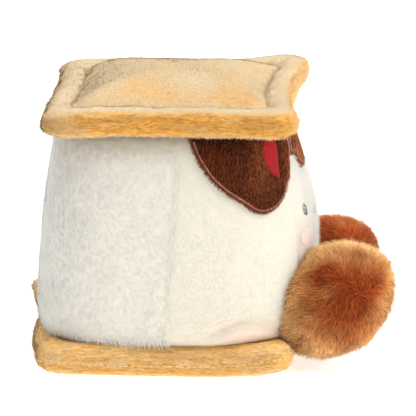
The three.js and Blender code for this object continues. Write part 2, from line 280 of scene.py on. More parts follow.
class GrownTree:
    """A Geometry Nodes tree with named inputs, run once on a mesh and applied."""

    def __init__(self, name: str, sizes: dict[str, str]) -> None:
        """Starts the tree.

        Args:
            name: Of the tree.
            sizes: The kind of socket for each named input, after the geometry.
        """
        self.tree = bpy.data.node_groups.new(name, "GeometryNodeTree")
        face = self.tree.interface
        face.new_socket("Geometry", in_out="INPUT", socket_type="NodeSocketGeometry")
        self.identifiers = {
            label: face.new_socket(label, in_out="INPUT", socket_type="NodeSocket" + kind).identifier
            for label, kind in sizes.items()
        }
        face.new_socket("Geometry", in_out="OUTPUT", socket_type="NodeSocketGeometry")
        self.wiring = Wiring(self.tree)
        self.given = self.wiring.add("NodeGroupInput").outputs

    def finish(self, geometry: Any) -> None:
        """Ends the tree: instances are made real and take the material.

        Args:
            geometry: What the tree has made.
        """
        real = self.wiring.add("GeometryNodeRealizeInstances", {"Geometry": geometry})
        dressed = self.wiring.add(
            "GeometryNodeSetMaterial", {"Geometry": real.outputs[0], "Material": self.given["Material"]}
        )
        self.wiring.add("NodeGroupOutput", {0: dressed.outputs[0]})

    def named(self, name: str, kind: str = "FLOAT") -> Any:
        """A named attribute's value."""
        node = self.wiring.add("GeometryNodeInputNamedAttribute", {"Name": name}, data_type=kind)
        return node.outputs["Attribute"]

    def store(
        self, geometry: Any, name: str, value: Any, kind: str = "FLOAT", domain: str = "POINT"
    ) -> Any:
        """The geometry with a value kept under a name.

        Args:
            geometry: What carries it.
            name: Of the attribute.
            value: What is kept.
            kind: Its data type.
            domain: What each value belongs to.

        Returns:
            The geometry with the attribute.
        """
        inputs = {"Name": name, "Geometry": geometry, "Value": value}
        kinds = {"data_type": kind, "domain": domain}
        return self.wiring.add("GeometryNodeStoreNamedAttribute", inputs, **kinds).outputs[0]

    def run(self, mesh: bpy.types.Mesh, sizes: dict[str, Any]) -> bpy.types.Mesh:
        """Grows the tree on a mesh.

        Args:
            mesh: What the tree starts from.
            sizes: A value for each named input.

        Returns:
            The result as a plain mesh.
        """
        carrier = placed(mesh.name + "_carrier", mesh)
        modifier = carrier.modifiers.new("Grow", "NODES")
        modifier.node_group = self.tree
        for label, value in sizes.items():
            modifier[self.identifiers[label]] = value
        depsgraph = bpy.context.evaluated_depsgraph_get()
        grown = bpy.data.meshes.new_from_object(carrier.evaluated_get(depsgraph), depsgraph=depsgraph)
        bpy.data.objects.remove(carrier)
        bpy.data.meshes.remove(mesh)
        return grown


class PileTree(GrownTree):
    """Pile fibres on a surface, from what the surface's attributes say of length and lean."""

    SHIFT = 0.5  # of the map: the fibres use its upper half, above the surface's own
    MAP_LENGTH = 0.006  # of the map that a fibre covers from its root to its tip
    MAP_WIDTH = 0.0015  # of the map that a fibre covers to each side
    LENGTHS = (0.72, 1.12)  # a fibre's length as a share of the mark's, shortest and longest
    WIDTHS = (0.75, 1.25)  # its width as a share of the pile's
    BELLY = 2.0  # how much a fibre swells in its middle

    def __init__(self) -> None:
        """Builds the tree."""
        numbers = ("Density", "Spacing", "Thickness", "Flatness", "Scatter", "Clump", "Clump Scale")
        sizes = dict.fromkeys(numbers, "Float") | dict.fromkeys(("Segments", "Seed"), "Int")
        super().__init__("Pile", sizes | {"Fabric": "Bool", "Material": "Material"})
        wire, given = self.wiring, self.given
        roots = wire.add(
            "GeometryNodeDistributePointsOnFaces",
            {
                "Mesh": given["Geometry"],
                "Distance Min": given["Spacing"],
                "Density Max": given["Density"],
                "Density Factor": self.named("pile_density"),
                "Seed": given["Seed"],
            },
            distribute_method="POISSON",
        )
        places = self.store(roots.outputs["Points"], "root_normal", roots.outputs["Normal"], "FLOAT_VECTOR")
        places = self.store(places, "root_uv", self.named(UV_MAP, "FLOAT_VECTOR"), "FLOAT_VECTOR")
        noise = wire.add("ShaderNodeTexNoise", {"Scale": given["Clump Scale"], "Detail": 2.0})
        chance = self.random(1, 0.0, 1.0)
        mixed = wire.math("MULTIPLY_ADD", noise.outputs[0], 1.1, wire.math("MULTIPLY", chance, 0.5))
        places = self.store(places, "tone", wire.math("SUBTRACT", mixed, 0.3))
        spread = wire.add("FunctionNodeRandomValue", {0: (-1, -1, -1), 1: (1, 1, 1), 8: given["Seed"]})
        spread.data_type = "FLOAT_VECTOR"
        scatter = wire.vector("SCALE", spread.outputs[0], scale=given["Scatter"])
        pull = wire.vector("SUBTRACT", noise.outputs[1], (0.5, 0.5, 0.5))
        clump = wire.vector("SCALE", pull, scale=given["Clump"])
        strays = wire.vector("ADD", scatter, clump)
        lean = wire.vector("ADD", self.named("pile_lean", "FLOAT_VECTOR"), strays)
        aimed = wire.add("FunctionNodeAlignRotationToVector", {"Vector": lean}, axis="Z")
        turn = wire.add(
            "FunctionNodeAlignRotationToVector",
            {"Rotation": aimed.outputs[0], "Vector": self.named("root_normal", "FLOAT_VECTOR")},
            axis="Y",
            pivot_axis="Z",
        )
        length = wire.math("MULTIPLY", self.named("pile_length"), self.random(2, *self.LENGTHS))
        width = wire.math("MULTIPLY", given["Thickness"], self.random(3, *self.WIDTHS))
        depth = wire.math("MULTIPLY", width, given["Flatness"])
        size = wire.add("ShaderNodeCombineXYZ", {0: width, 1: depth, 2: length})
        grown = wire.add(
            "GeometryNodeInstanceOnPoints",
            {
                "Points": places,
                "Instance": self.fibre(),
                "Rotation": turn.outputs[0],
                "Scale": size.outputs[0],
            },
        )
        real = wire.add("GeometryNodeRealizeInstances", {"Geometry": grown.outputs[0]}).outputs[0]
        along = wire.math("MULTIPLY_ADD", self.named("rise"), self.MAP_LENGTH, self.SHIFT)
        across = wire.math("MULTIPLY", self.named("across"), self.MAP_WIDTH)
        offset = wire.add("ShaderNodeCombineXYZ", {0: across, 1: along})
        place = wire.vector("ADD", self.named("root_uv", "FLOAT_VECTOR"), offset.outputs[0])
        mapped = self.store(real, UV_MAP, place, "FLOAT2", "CORNER")
        both = wire.add("GeometryNodeJoinGeometry")
        fabric = wire.add(
            "GeometryNodeSwitch",
            {"Switch": given["Fabric"], "True": given["Geometry"]},
            input_type="GEOMETRY",
        )
        wire.tree.links.new(mapped, both.inputs[0])
        wire.tree.links.new(fabric.outputs[0], both.inputs[0])
        self.finish(both.outputs[0])

    def random(self, seed: int, low: float, high: float) -> Any:
        """A random number for each fibre.

        Args:
            seed: Of the draw.
            low: Its least value.
            high: Its greatest value.

        Returns:
            The node's output.
        """
        salt = self.wiring.math("ADD", self.given["Seed"], float(seed))
        node = self.wiring.add("FunctionNodeRandomValue", {2: low, 3: high, 8: salt})
        return node.outputs[1]

    def fibre(self) -> Any:
        """One closed fibre that stands on the origin, with how far up and across each point is.

        Returns:
            The fibre and those two values.
        """
        wire = self.wiring
        cone = wire.add(
            "GeometryNodeMeshCone",
            {
                "Vertices": 3,
                "Side Segments": self.given["Segments"],
                "Radius Top": 0.0,
                "Radius Bottom": 1.0,
                "Depth": 1.0,
            },
            fill_type="NGON",
        )
        parts = wire.add("ShaderNodeSeparateXYZ", {0: wire.add("GeometryNodeInputPosition").outputs[0]})
        marked = self.store(cone.outputs[0], "rise", parts.outputs[2])
        marked = self.store(marked, "across", parts.outputs[0])
        hollow = wire.math("MULTIPLY", parts.outputs[2], wire.math("SUBTRACT", 1.0, parts.outputs[2]))
        belly = wire.math("MULTIPLY_ADD", hollow, self.BELLY, 1.0)
        fuller = wire.vector(
            "MULTIPLY",
            wire.add("GeometryNodeInputPosition").outputs[0],
            wire.add("ShaderNodeCombineXYZ", {0: belly, 1: belly, 2: 1.0}).outputs[0],
        )
        shaped = wire.add("GeometryNodeSetPosition", {"Geometry": marked, "Position": fuller})
        return wire.add("GeometryNodeSetShadeSmooth", {"Geometry": shaped.outputs[0]}).outputs[0]


class StitchTree(GrownTree):
    """Stitches of thread, one on each vertex of a mesh that says how each one lies."""

    def __init__(self) -> None:
        """Builds the tree."""
        super().__init__("Stitches", {"Width": "Float", "Height": "Float", "Material": "Material"})
        wire, given = self.wiring, self.given
        points = wire.add("GeometryNodeMeshToPoints", {"Mesh": given["Geometry"]})
        turn = wire.add(
            "FunctionNodeAxesToRotation",
            {
                "Primary Axis": self.named("stitch_up", "FLOAT_VECTOR"),
                "Secondary Axis": self.named("stitch_aim", "FLOAT_VECTOR"),
            },
            primary_axis="Z",
            secondary_axis="X",
        )
        size = wire.add(
            "ShaderNodeCombineXYZ", {0: self.named("stitch_reach"), 1: given["Width"], 2: given["Height"]}
        )
        thread = wire.add("GeometryNodeMeshUVSphere", {"Segments": 8, "Rings": 6, "Radius": 1.0})
        sewn = wire.add(
            "GeometryNodeInstanceOnPoints",
            {
                "Points": points.outputs[0],
                "Instance": thread.outputs[0],
                "Rotation": turn.outputs[0],
                "Scale": size.outputs[0],
            },
        )
        smooth = wire.add("GeometryNodeSetShadeSmooth", {"Geometry": sewn.outputs[0]})
        self.finish(smooth.outputs[0])


# ---- Finishes ----
@dataclass(frozen=True)
class Plush:
    """Pile fabric whose colour runs from its roots to its tips, with brushed and worn patches.

    Attributes:
        name: Of the material.
        low: Colours of root and tip where the surface's shade is 0.
        high: Colours of root and tip where its shade is 1.
        glow: Colour where its glow is 1.
        spread: How much brighter or darker single fibres are.
        mottle: How much brighter or darker brushed patches are.
        mottle_size: Width of those patches, in mm.
        tufts: How much brighter or darker single tufts are.
        combed: How much more so where the surface's shade is 1.
        tuft_size: Their size along X, Y and Z, in mm, where the surface's shade is 0.
        combed_size: Their size where its shade is 1.
        sheen: Weight of the soft edge light.
    """

    name: str
    low: tuple[Colour, Colour]
    high: tuple[Colour, Colour]
    glow: Colour
    spread: float = 0.12
    mottle: float = 0.06
    mottle_size: float = 14.0
    tufts: float = 0.0
    combed: float = 0.0
    tuft_size: Triple = (1.3, 1.3, 1.3)
    combed_size: Triple = (1.3, 1.3, 1.3)
    sheen: float = 0.2

    NOISE_GAIN = 2.5  # noise keeps near its middle value, so its swing is raised
    GRAIN_SCALE = 1400.0
    GRAIN_SHARE = 0.7  # of the spread
    MATT = (0.82, 1.0)  # lowest and highest roughness
    SPECULAR = 0.12
    SHEEN_ROUGHNESS = 0.5

    def make(self) -> bpy.types.Material:
        """Builds the material.

        Returns:
            The material.
        """
        material, wire, shader = new_material(self.name)
        rise = wire.attribute("rise")
        low = wire.mix(rise, *(linear(colour) for colour in self.low))
        high = wire.mix(rise, *(linear(colour) for colour in self.high))
        shade = wire.attribute("shade")
        base = wire.mix(shade, low, high)
        base = wire.mix(wire.attribute("glow"), base, linear(self.glow))
        place = wire.add("ShaderNodeTexCoord").outputs["Object"]
        patches = wire.add(
            "ShaderNodeTexNoise", {"Vector": place, "Scale": 1 / (self.mottle_size * MM), "Detail": 3.0}
        )
        grain = wire.add("ShaderNodeTexNoise", {"Vector": place, "Scale": self.GRAIN_SCALE, "Detail": 2.0})
        tone = wire.centred(wire.attribute("tone"))
        plain, combed = (self.noise(wire, place, size) for size in (self.tuft_size, self.combed_size))
        tufts = wire.add("ShaderNodeMix", {0: shade, 2: plain, 3: combed}).outputs[0]
        level = wire.math("MULTIPLY_ADD", tone, self.spread, 1.0)
        gain = self.NOISE_GAIN
        contrast = wire.math("MULTIPLY_ADD", shade, self.combed * gain, self.tufts * gain)
        for pattern, strength in (
            (tufts, contrast),
            (patches.outputs[0], self.mottle * gain),
            (grain.outputs[0], self.spread * self.GRAIN_SHARE),
        ):
            level = wire.math("MULTIPLY_ADD", wire.centred(pattern), strength, level)
        colour = wire.vector("SCALE", base, scale=level)
        rough = wire.add(
            "ShaderNodeMapRange", {0: grain.outputs[0], 1: 0.3, 2: 0.7, 3: self.MATT[0], 4: self.MATT[1]}
        )
        fine = wire.add(
            "ShaderNodeBump", {"Strength": 0.12, "Distance": 0.4 * MM, "Height": grain.outputs[0]}
        )
        relief = wire.add(
            "ShaderNodeBump",
            {
                "Strength": min(1.0, self.tufts * 3),
                "Distance": 0.7 * MM,
                "Height": tufts,
                "Normal": fine.outputs[0],
            },
        )
        inputs = {
            "Base Color": colour,
            "Roughness": rough.outputs[0],
            "Normal": relief.outputs[0],
            "Specular IOR Level": self.SPECULAR,
            "Sheen Weight": self.sheen,
            "Sheen Roughness": self.SHEEN_ROUGHNESS,
        }
        wire.feed(shader, inputs)
        return material

    @staticmethod
    def noise(wire: Wiring, place: Any, size: Triple) -> Any:
        """Smooth noise whose patches have a size along each axis, in mm.

        Args:
            wire: The material's wiring.
            place: Where it is read.
            size: The patches' size.

        Returns:
            The noise, from 0 to 1.
        """
        scaled = wire.vector("MULTIPLY", place, tuple(1 / (part * MM) for part in size))
        inputs = {"Vector": scaled, "Scale": 1.0, "Detail": 1.5, "Distortion": 0.7}
        return wire.add("ShaderNodeTexNoise", inputs).outputs[0]


@dataclass(frozen=True)
class Thread:
    """Embroidery thread with a soft gloss along its fibres.

    Attributes:
        name: Of the material.
        colour: Its colour.
        light: Colour of its lighter strands.
        sheen: Weight of the soft edge light.
        roughness: Its middle roughness.
    """

    name: str
    colour: Colour
    light: Colour
    sheen: float = 0.2
    roughness: float = 0.5

    STRAND_SCALE = 900.0
    ROUGHNESS_SWING = 0.12

    def make(self) -> bpy.types.Material:
        """Builds the material.

        Returns:
            The material.
        """
        material, wire, shader = new_material(self.name)
        place = wire.add("ShaderNodeTexCoord").outputs["Object"]
        inputs = {"Vector": place, "Scale": self.STRAND_SCALE, "Detail": 3.0}
        strands = wire.add("ShaderNodeTexNoise", inputs)
        share = wire.add("ShaderNodeMapRange", {0: strands.outputs[0], 1: 0.45, 2: 0.75, 3: 0.0, 4: 1.0})
        colour = wire.mix(share.outputs[0], linear(self.colour), linear(self.light))
        least, most = (self.roughness + swing for swing in (-self.ROUGHNESS_SWING, self.ROUGHNESS_SWING))
        rough = wire.add("ShaderNodeMapRange", {0: strands.outputs[0], 1: 0.3, 2: 0.7, 3: least, 4: most})
        relief = wire.add(
            "ShaderNodeBump", {"Strength": 0.4, "Distance": 0.2 * MM, "Height": strands.outputs[0]}
        )
        inputs = {"Base Color": colour, "Roughness": rough.outputs[0], "Normal": relief.outputs[0]}
        wire.feed(shader, inputs | {"Sheen Weight": self.sheen})
        return material


class Finish(Enum):
    """Every finish on the toy."""

    CRACKER = Plush(
        "cracker_plush",
        ((204, 176, 132), (217, 195, 157)),
        ((208, 144, 58), (238, 184, 98)),
        (240, 222, 190),
        spread=0.1,
        mottle=0.03,
        tufts=0.13,
        combed=0.07,
        sheen=0.12,
        tuft_size=(1.0, 1.0, 1.0),
        combed_size=(4.5, 4.5, 0.9),
    )
    # Painted light: a lighter copy of the cracker plush for the lower cracker, which gets less light than
    # the upper one.
    BRIGHTENED_LOW_CRACKER = replace(
        CRACKER,
        name="low_cracker_plush_painted_light",
        low=((214, 190, 152), (228, 210, 180)),
        high=((224, 162, 78), (250, 204, 122)),
    )
    # Its high colours are greys for the painted shade of the back; its glow colour is the painted shade in
    # the low folds.
    CREAM = Plush(
        "marshmallow_plush",
        ((214, 207, 188), (223, 217, 201)),
        ((176, 176, 173), (196, 195, 192)),
        (230, 200, 178),
        spread=0.02,
        mottle=0.012,
        tufts=0.008,
    )
    # Its high colours are greys for the painted shade of the back; its glow colour is the painted fold
    # shade, and on the front the cheeks' blush.
    FUZZ = Plush(
        "marshmallow_fuzz",
        ((221, 216, 204), (231, 227, 218)),
        ((178, 178, 176), (196, 196, 193)),
        (244, 208, 200),
        spread=0.055,
        mottle=0.015,
        tufts=0.012,
        tuft_size=(1.0, 1.0, 2.2),
        combed_size=(1.0, 1.0, 2.2),
    )
    CHOCOLATE = Plush(
        "chocolate_plush",
        ((44, 12, 3), (154, 78, 38)),
        ((98, 42, 16), (206, 128, 72)),
        (146, 80, 58),
        spread=0.55,
        mottle=0.12,
        mottle_size=8.0,
        tufts=0.34,
        tuft_size=(0.9, 0.9, 3.0),
        combed_size=(0.9, 0.9, 3.0),
        sheen=0.05,
    )
    # Its high colours are the darker pile round a parting, which is also painted shade on the far foot; its
    # glow colour gives paler tips and a painted top highlight.
    FOOT = Plush(
        "foot_plush",
        ((188, 100, 42), (253, 196, 124)),
        ((128, 42, 8), (204, 104, 48)),
        (252, 206, 140),
        spread=0.5,
        mottle=0.16,
        mottle_size=11.0,
        tufts=0.3,
        tuft_size=(1.3, 1.3, 2.6),
        combed_size=(1.3, 1.3, 2.0),
        sheen=0.07,
    )
    BLUSH = Plush(
        "blush_plush",
        ((221, 216, 204), (231, 227, 218)),
        ((242, 206, 198), (246, 218, 211)),
        (246, 222, 216),
        spread=0.035,
        tufts=0.02,
    )
    RED = Thread("red_thread", (156, 0, 6), (206, 16, 26), sheen=0.0, roughness=0.8)
    BLACK = Thread("black_thread", (8, 8, 10), (30, 31, 36), sheen=0.0, roughness=0.42)
    ZIGZAG = Thread("brown_thread", (140, 84, 68), (206, 158, 140))
    TAN_SEWING = Thread("tan_sewing_thread", (172, 132, 86), (214, 178, 126))
    PALE_SEWING = Thread("pale_sewing_thread", (238, 206, 150), (250, 230, 190))


class Workshop:
    """What every piece is made with: the node trees and the finished materials."""

    def __init__(self) -> None:
        """Builds the trees and the materials."""
        self.pile = PileTree()
        self.stitches = StitchTree()
        self.materials = {finish: finish.value.make() for finish in Finish}

    def keep(
        self, mesh: bpy.types.Mesh, name: str, node: str
    ) -> bpy.types.Object:
        """Makes a mesh a finished piece of the toy.

        Args:
            mesh: The piece's mesh, in place.
            name: Of the piece.
            node: The solid that it stands for.

        Returns:
            The piece's object.
        """
        mesh.name = name
        piece = placed(name, mesh)
        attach(piece, BODY)
        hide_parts(node)
        LOG.info("%s: %d triangles", name, sum(len(face.vertices) - 2 for face in mesh.polygons))
        return piece

    def sew(self, stitches: Stitches, finish: Finish) -> bpy.types.Mesh:
        """Makes stitches of thread.

        Args:
            stitches: Where each stitch lies.
            finish: The thread.

        Returns:
            Their mesh.
        """
        sizes = {"Width": stitches.width * MM, "Height": stitches.height * MM}
        return self.stitches.run(stitches.mesh(), sizes | {"Material": self.materials[finish]})


@dataclass(frozen=True)
class Pile:
    """How pile grows on a surface.

    Attributes:
        density: Fibres on each square millimetre.
        spacing: Least distance between two roots, in mm.
        thickness: Radius of a fibre at its root, in mm.
        scatter: How much single fibres stray from the lean.
        clump: How much neighbours stray together.
        clump_size: Width of such a group, in mm.
        softness: How much the shading follows the fabric and not the single fibre, from 0 to 1.
        flatness: A fibre's depth as a share of its width.
        seed: Of the random draws.
        segments: Of each fibre, along its length.
    """

    density: float
    spacing: float
    thickness: float
    scatter: float
    clump: float
    clump_size: float
    softness: float
    flatness: float = 1.0
    seed: int = 0
    segments: int = 1


class Growth(Enum):
    """Every kind of pile on the toy."""

    RIM = Pile(1.9, 0.45, 0.3, scatter=0.35, clump=0.9, clump_size=2.0, softness=0.76, flatness=0.8)
    FACE = Pile(1.7, 0.47, 0.26, scatter=0.25, clump=0.3, clump_size=1.7, softness=0.9, flatness=0.45)
    SIDE = Pile(1.5, 0.5, 0.22, scatter=0.12, clump=0.1, clump_size=4.0, softness=0.98, flatness=0.3)
    BACK = Pile(2.2, 0.41, 0.26, scatter=0.2, clump=0.2, clump_size=1.8, softness=0.93, flatness=0.4)
    FRONT = Pile(2.1, 0.42, 0.24, scatter=0.35, clump=0.2, clump_size=2.0, softness=0.97, flatness=0.4)
    CHEEK = Pile(2.2, 0.42, 0.24, scatter=0.35, clump=0.2, clump_size=2.0, softness=0.97, flatness=0.4)
    CHOCOLATE = Pile(2.6, 0.36, 0.26, scatter=0.25, clump=0.8, clump_size=2.0, softness=0.55)
    FOOT = Pile(2.6, 0.38, 0.24, scatter=0.3, clump=1.1, clump_size=2.6, softness=0.72)

    def seeded(self, seed: int) -> Pile:
        """This kind with random draws of its own."""
        return replace(self.value, seed=seed)


@dataclass
class Shell:
    """A closed surface from rings that run round it, from its top pole down to its bottom pole.

    Attributes:
        name: Of the mesh.
        rings: Points, by ring and by step round it.
        poles: The two end points.
        marks: A number or a vector for each ring point, by the name of an attribute.
    """

    name: str
    rings: Array
    poles: tuple[Array, Array]
    marks: dict[str, Array] = field(default_factory=dict)

    def around(self) -> Array:
        """From the point before each ring point to the one after it."""
        return np.roll(self.rings, -1, axis=1) - np.roll(self.rings, 1, axis=1)

    def normals(self) -> Array:
        """The outward direction at each ring point.

        Returns:
            One unit direction for each ring point.
        """
        ends = np.concatenate(
            [
                np.broadcast_to(self.poles[0], (1, *self.rings.shape[1:])),
                self.rings,
                np.broadcast_to(self.poles[1], (1, *self.rings.shape[1:])),
            ]
        )
        down = ends[2:] - ends[:-2]
        return unit(np.cross(down, self.around()))

    def push(self, heights: Array) -> None:
        """Moves each ring point along its normal."""
        self.rings = self.rings + self.normals() * heights[..., None]

    def mesh(self) -> bpy.types.Mesh:
        """The surface as a mesh in metres, with its attributes and its map.

        Returns:
            The mesh.
        """
        levels, steps = self.rings.shape[:2]
        points = np.vstack([self.poles[0][None], self.rings.reshape(-1, 3), self.poles[1][None]])
        last = len(points) - 1
        step = np.arange(steps)
        after = (step + 1) % steps
        level = np.arange(levels - 1)[:, None]
        corner = [1 + level * steps + step, 1 + (level + 1) * steps + step]
        corner += [1 + (level + 1) * steps + after, 1 + level * steps + after]
        quads = np.stack([np.broadcast_to(part, (levels - 1, steps)) for part in corner], -1).reshape(-1, 4)
        top = np.stack([np.zeros(steps, int), 1 + step, 1 + after], 1)
        low = 1 + (levels - 1) * steps
        bottom = np.stack([low + step, np.full(steps, last), low + after], 1)
        mesh = bpy.data.meshes.new(self.name)
        mesh.from_pydata((points * MM).tolist(), [], quads.tolist() + top.tolist() + bottom.tolist())
        mesh.polygons.foreach_set("use_smooth", np.ones(len(mesh.polygons), bool))
        self.map_corners(mesh, levels, steps)
        for name, values in {"tone": 0.5, "rise": 0.3, "shade": 0.0, "glow": 0.0, **self.marks}.items():
            self.mark(mesh, name, values)
        mesh.validate()
        return mesh

    def map_corners(self, mesh: bpy.types.Mesh, levels: int, steps: int) -> None:
        """Lays the surface out as a band, in the lower half of its map.

        Args:
            mesh: The mesh.
            levels: How many rings it has.
            steps: Points in each ring.
        """
        height = PileTree.SHIFT * 0.97
        step = np.arange(steps) / steps
        after = step + 1 / steps
        level = (np.arange(levels - 1)[:, None] + 1) / (levels + 1)
        lower = level + 1 / (levels + 1)
        ones = np.ones((levels - 1, steps))
        across = np.stack([step * ones, step * ones, after * ones, after * ones], -1).reshape(-1, 4)
        down = np.stack([level * ones, lower * ones, lower * ones, level * ones], -1).reshape(-1, 4)
        half = (step + after) / 2
        first, final = np.full(steps, 1 / (levels + 1)), np.full(steps, levels / (levels + 1))
        top = np.stack([half, np.zeros(steps), step, first, after, first], 1)
        bottom = np.stack([step, final, half, np.ones(steps), after, final], 1)
        flat = np.concatenate([np.stack([across, down], -1).ravel(), top.ravel(), bottom.ravel()])
        flat[1::2] *= height
        mesh.uv_layers.new(name=UV_MAP).data.foreach_set("uv", flat)

    def mark(self, mesh: bpy.types.Mesh, name: str, values: Array | float) -> None:
        """Keeps a value for each vertex under a name. The poles take their ring's mean.

        Args:
            mesh: The mesh.
            name: Of the mark.
            values: One for each ring point, or one for all.
        """
        shape = self.rings.shape[:2]
        values = np.asarray(values, float)
        vector = values.ndim and values.shape[-1] == 3 and values.ndim != 2
        full = np.broadcast_to(values, (*shape, 3) if vector else shape)
        rows = full.reshape(shape[0] * shape[1], -1)
        ends = [full[0].reshape(shape[1], -1).mean(0), full[-1].reshape(shape[1], -1).mean(0)]
        data = np.vstack([ends[0], rows, ends[1]])
        kind, member = ("FLOAT_VECTOR", "vector") if vector else ("FLOAT", "value")
        mesh.attributes.new(name, kind, "POINT").data.foreach_set(member, data.ravel())


def dress(shop: Workshop, shell: Shell, pile: Pile, finish: Finish, fabric: bool = True) -> bpy.types.Mesh:
    """Grows pile on a shell and softens its shading.

    Args:
        shop: Gives tree and material.
        shell: The fabric's surface, with its pile marks.
        pile: How the pile grows.
        finish: The fabric.
        fabric: Whether the surface itself is kept beside its pile.

    Returns:
        The mesh of surface and pile, or of the pile alone.
    """
    sizes = {
        "Density": pile.density / MM**2,
        "Spacing": pile.spacing * MM,
        "Thickness": pile.thickness * MM,
        "Flatness": pile.flatness,
        "Scatter": pile.scatter,
        "Clump": pile.clump,
        "Clump Scale": 1 / (pile.clump_size * MM),
        "Segments": pile.segments,
        "Seed": pile.seed,
        "Fabric": fabric,
        "Material": shop.materials[finish],
    }
    mesh = shop.pile.run(shell.mesh(), sizes)
    count = len(mesh.vertices)
    normals = np.zeros(count * 3, np.float32)
    mesh.vertex_normals.foreach_get("vector", normals)
    roots = np.zeros(count * 3, np.float32)
    mesh.attributes["root_normal"].data.foreach_get("vector", roots)
    own, under = normals.reshape(-1, 3), roots.reshape(-1, 3)
    fibre = np.linalg.norm(under, axis=1) > 0.5
    own = np.where(fibre[:, None], unit(under * pile.softness + own * (1 - pile.softness)), own)
    places = np.zeros(count * 3, np.float32)
    mesh.vertices.foreach_get("co", places)
    places[2::3] = np.maximum(places[2::3], FLOOR_CLEARANCE * MM)
    mesh.vertices.foreach_set("co", places)
    forget(mesh)
    mesh.normals_split_custom_set_from_vertices(own.tolist())
    return mesh


def forget(mesh: bpy.types.Mesh) -> None:
    """Drops the marks that only the growing of pile needs.

    Args:
        mesh: The finished mesh.
    """
    for name in ("root_normal", "root_uv", "across", "pile_lean", "pile_length", "pile_density"):
        if name in mesh.attributes:
            mesh.attributes.remove(mesh.attributes[name])


def bare(shop: Workshop, shell: Shell, finish: Finish) -> bpy.types.Mesh:
    """A shell's own surface, without pile.

    Args:
        shop: Gives tree and material.
        shell: The surface.
        finish: What it is covered with.

    Returns:
        The mesh.
    """
    mesh = shell.mesh()
    mesh.materials.append(shop.materials[finish])
    forget(mesh)
    return mesh


def nap(shop: Workshop, shell: Shell, pile: Pile, finish: Finish, name: str, node: str) -> None:
    """Grows fine pile as a piece of its own, which lets light through and casts no shadow.

    Args:
        shop: Gives tree and material.
        shell: The fabric's surface, with its pile marks.
        pile: How the pile grows.
        finish: The fabric.
        name: Of the piece.
        node: The solid that it stands for.
    """
    piece = shop.keep(dress(shop, shell, pile, finish, fabric=False), name, node)
    piece.visible_shadow = False


@dataclass
class Stitches:
    """Stitches along a line or over an area.

    Attributes:
        places: The middle of each stitch.
        aims: The way each one runs.
        ups: The way out of the fabric at each one.
        reaches: Half of each one's length.
        width: Half of a stitch's width.
        height: Half of its height.
    """

    places: Array
    aims: Array
    ups: Array
    reaches: Array
    width: float
    height: float

    def mesh(self) -> bpy.types.Mesh:
        """One vertex for each stitch, with how it lies.

        Returns:
            The mesh that the stitches are grown on.
        """
        mesh = bpy.data.meshes.new("stitch_places")
        mesh.from_pydata((self.places * MM).tolist(), [], [])
        for name, values in (("stitch_aim", self.aims), ("stitch_up", self.ups)):
            mesh.attributes.new(name, "FLOAT_VECTOR", "POINT").data.foreach_set("vector", values.ravel())
        reach = mesh.attributes.new("stitch_reach", "FLOAT", "POINT")
        reach.data.foreach_set("value", np.broadcast_to(self.reaches, len(self.places)) * MM)
        return mesh

    @classmethod
    def along(
        cls,
        line: Array,
        ups: Array,
        pitch: float,
        share: float,
        width: float,
        height: float,
        swing: float = 0.0,
    ) -> Stitches:
        """Stitches that follow a line.

        Args:
            line: Points along the line.
            ups: The way out of the fabric at each of them.
            pitch: From one stitch to the next, in mm.
            share: How much of the pitch a stitch covers.
            width: Half of a stitch's width.
            height: Half of its height.
            swing: For zigzag stitching, the angle to the line in degrees.

        Returns:
            The stitches.
        """
        length = np.linalg.norm(np.diff(line, axis=0), axis=1).sum()
        count = max(3, int(length / pitch))
        both = evenly_with(line, ups, count)
        places, out = both[:, :3], unit(both[:, 3:])
        aims = unit(np.gradient(places, axis=0))
        side = unit(np.cross(out, aims))
        sign = np.where(np.arange(count) % 2, 1.0, -1.0)[:, None]
        angle = math.radians(swing)
        aims = aims * math.cos(angle) + side * math.sin(angle) * sign
        return cls(places, aims, out, np.full(count, pitch * share / 2), width, height)


def evenly_with(line: Array, extra: Array, count: int) -> Array:
    """Points spaced evenly along an open line, with what goes with each of them.

    Args:
        line: The line.
        extra: A value or more at each of its points.
        count: How many points are wanted.

    Returns:
        Each new point and its values, side by side.
    """
    along = np.concatenate([[0], np.cumsum(np.linalg.norm(np.diff(line, axis=0), axis=1))])
    wanted = (np.arange(count) + 0.5) / count * along[-1]
    both = np.hstack([line, extra])
    return np.stack([np.interp(wanted, along, both[:, axis]) for axis in range(both.shape[1])], axis=1)


def join(name: str, meshes: Sequence[bpy.types.Mesh]) -> bpy.types.Mesh:
    """One mesh from several, each with its own material.

    Args:
        name: Of the result.
        meshes: What is joined. They are used up.

    Returns:
        The joined mesh.
    """
    parts = [placed(name, mesh) for mesh in meshes]
    with bpy.context.temp_override(
        active_object=parts[0], selected_editable_objects=parts, selected_objects=parts, object=parts[0]
    ):
        bpy.ops.object.join()
    mesh = parts[0].data
    bpy.data.objects.remove(parts[0])
    return mesh


# ---- Crackers ----
@dataclass(frozen=True)
class CornerBend:
    """A corner of a cracker, as signs of x and y, and how far it is pushed."""

    x: int
    y: int
    push: Triple


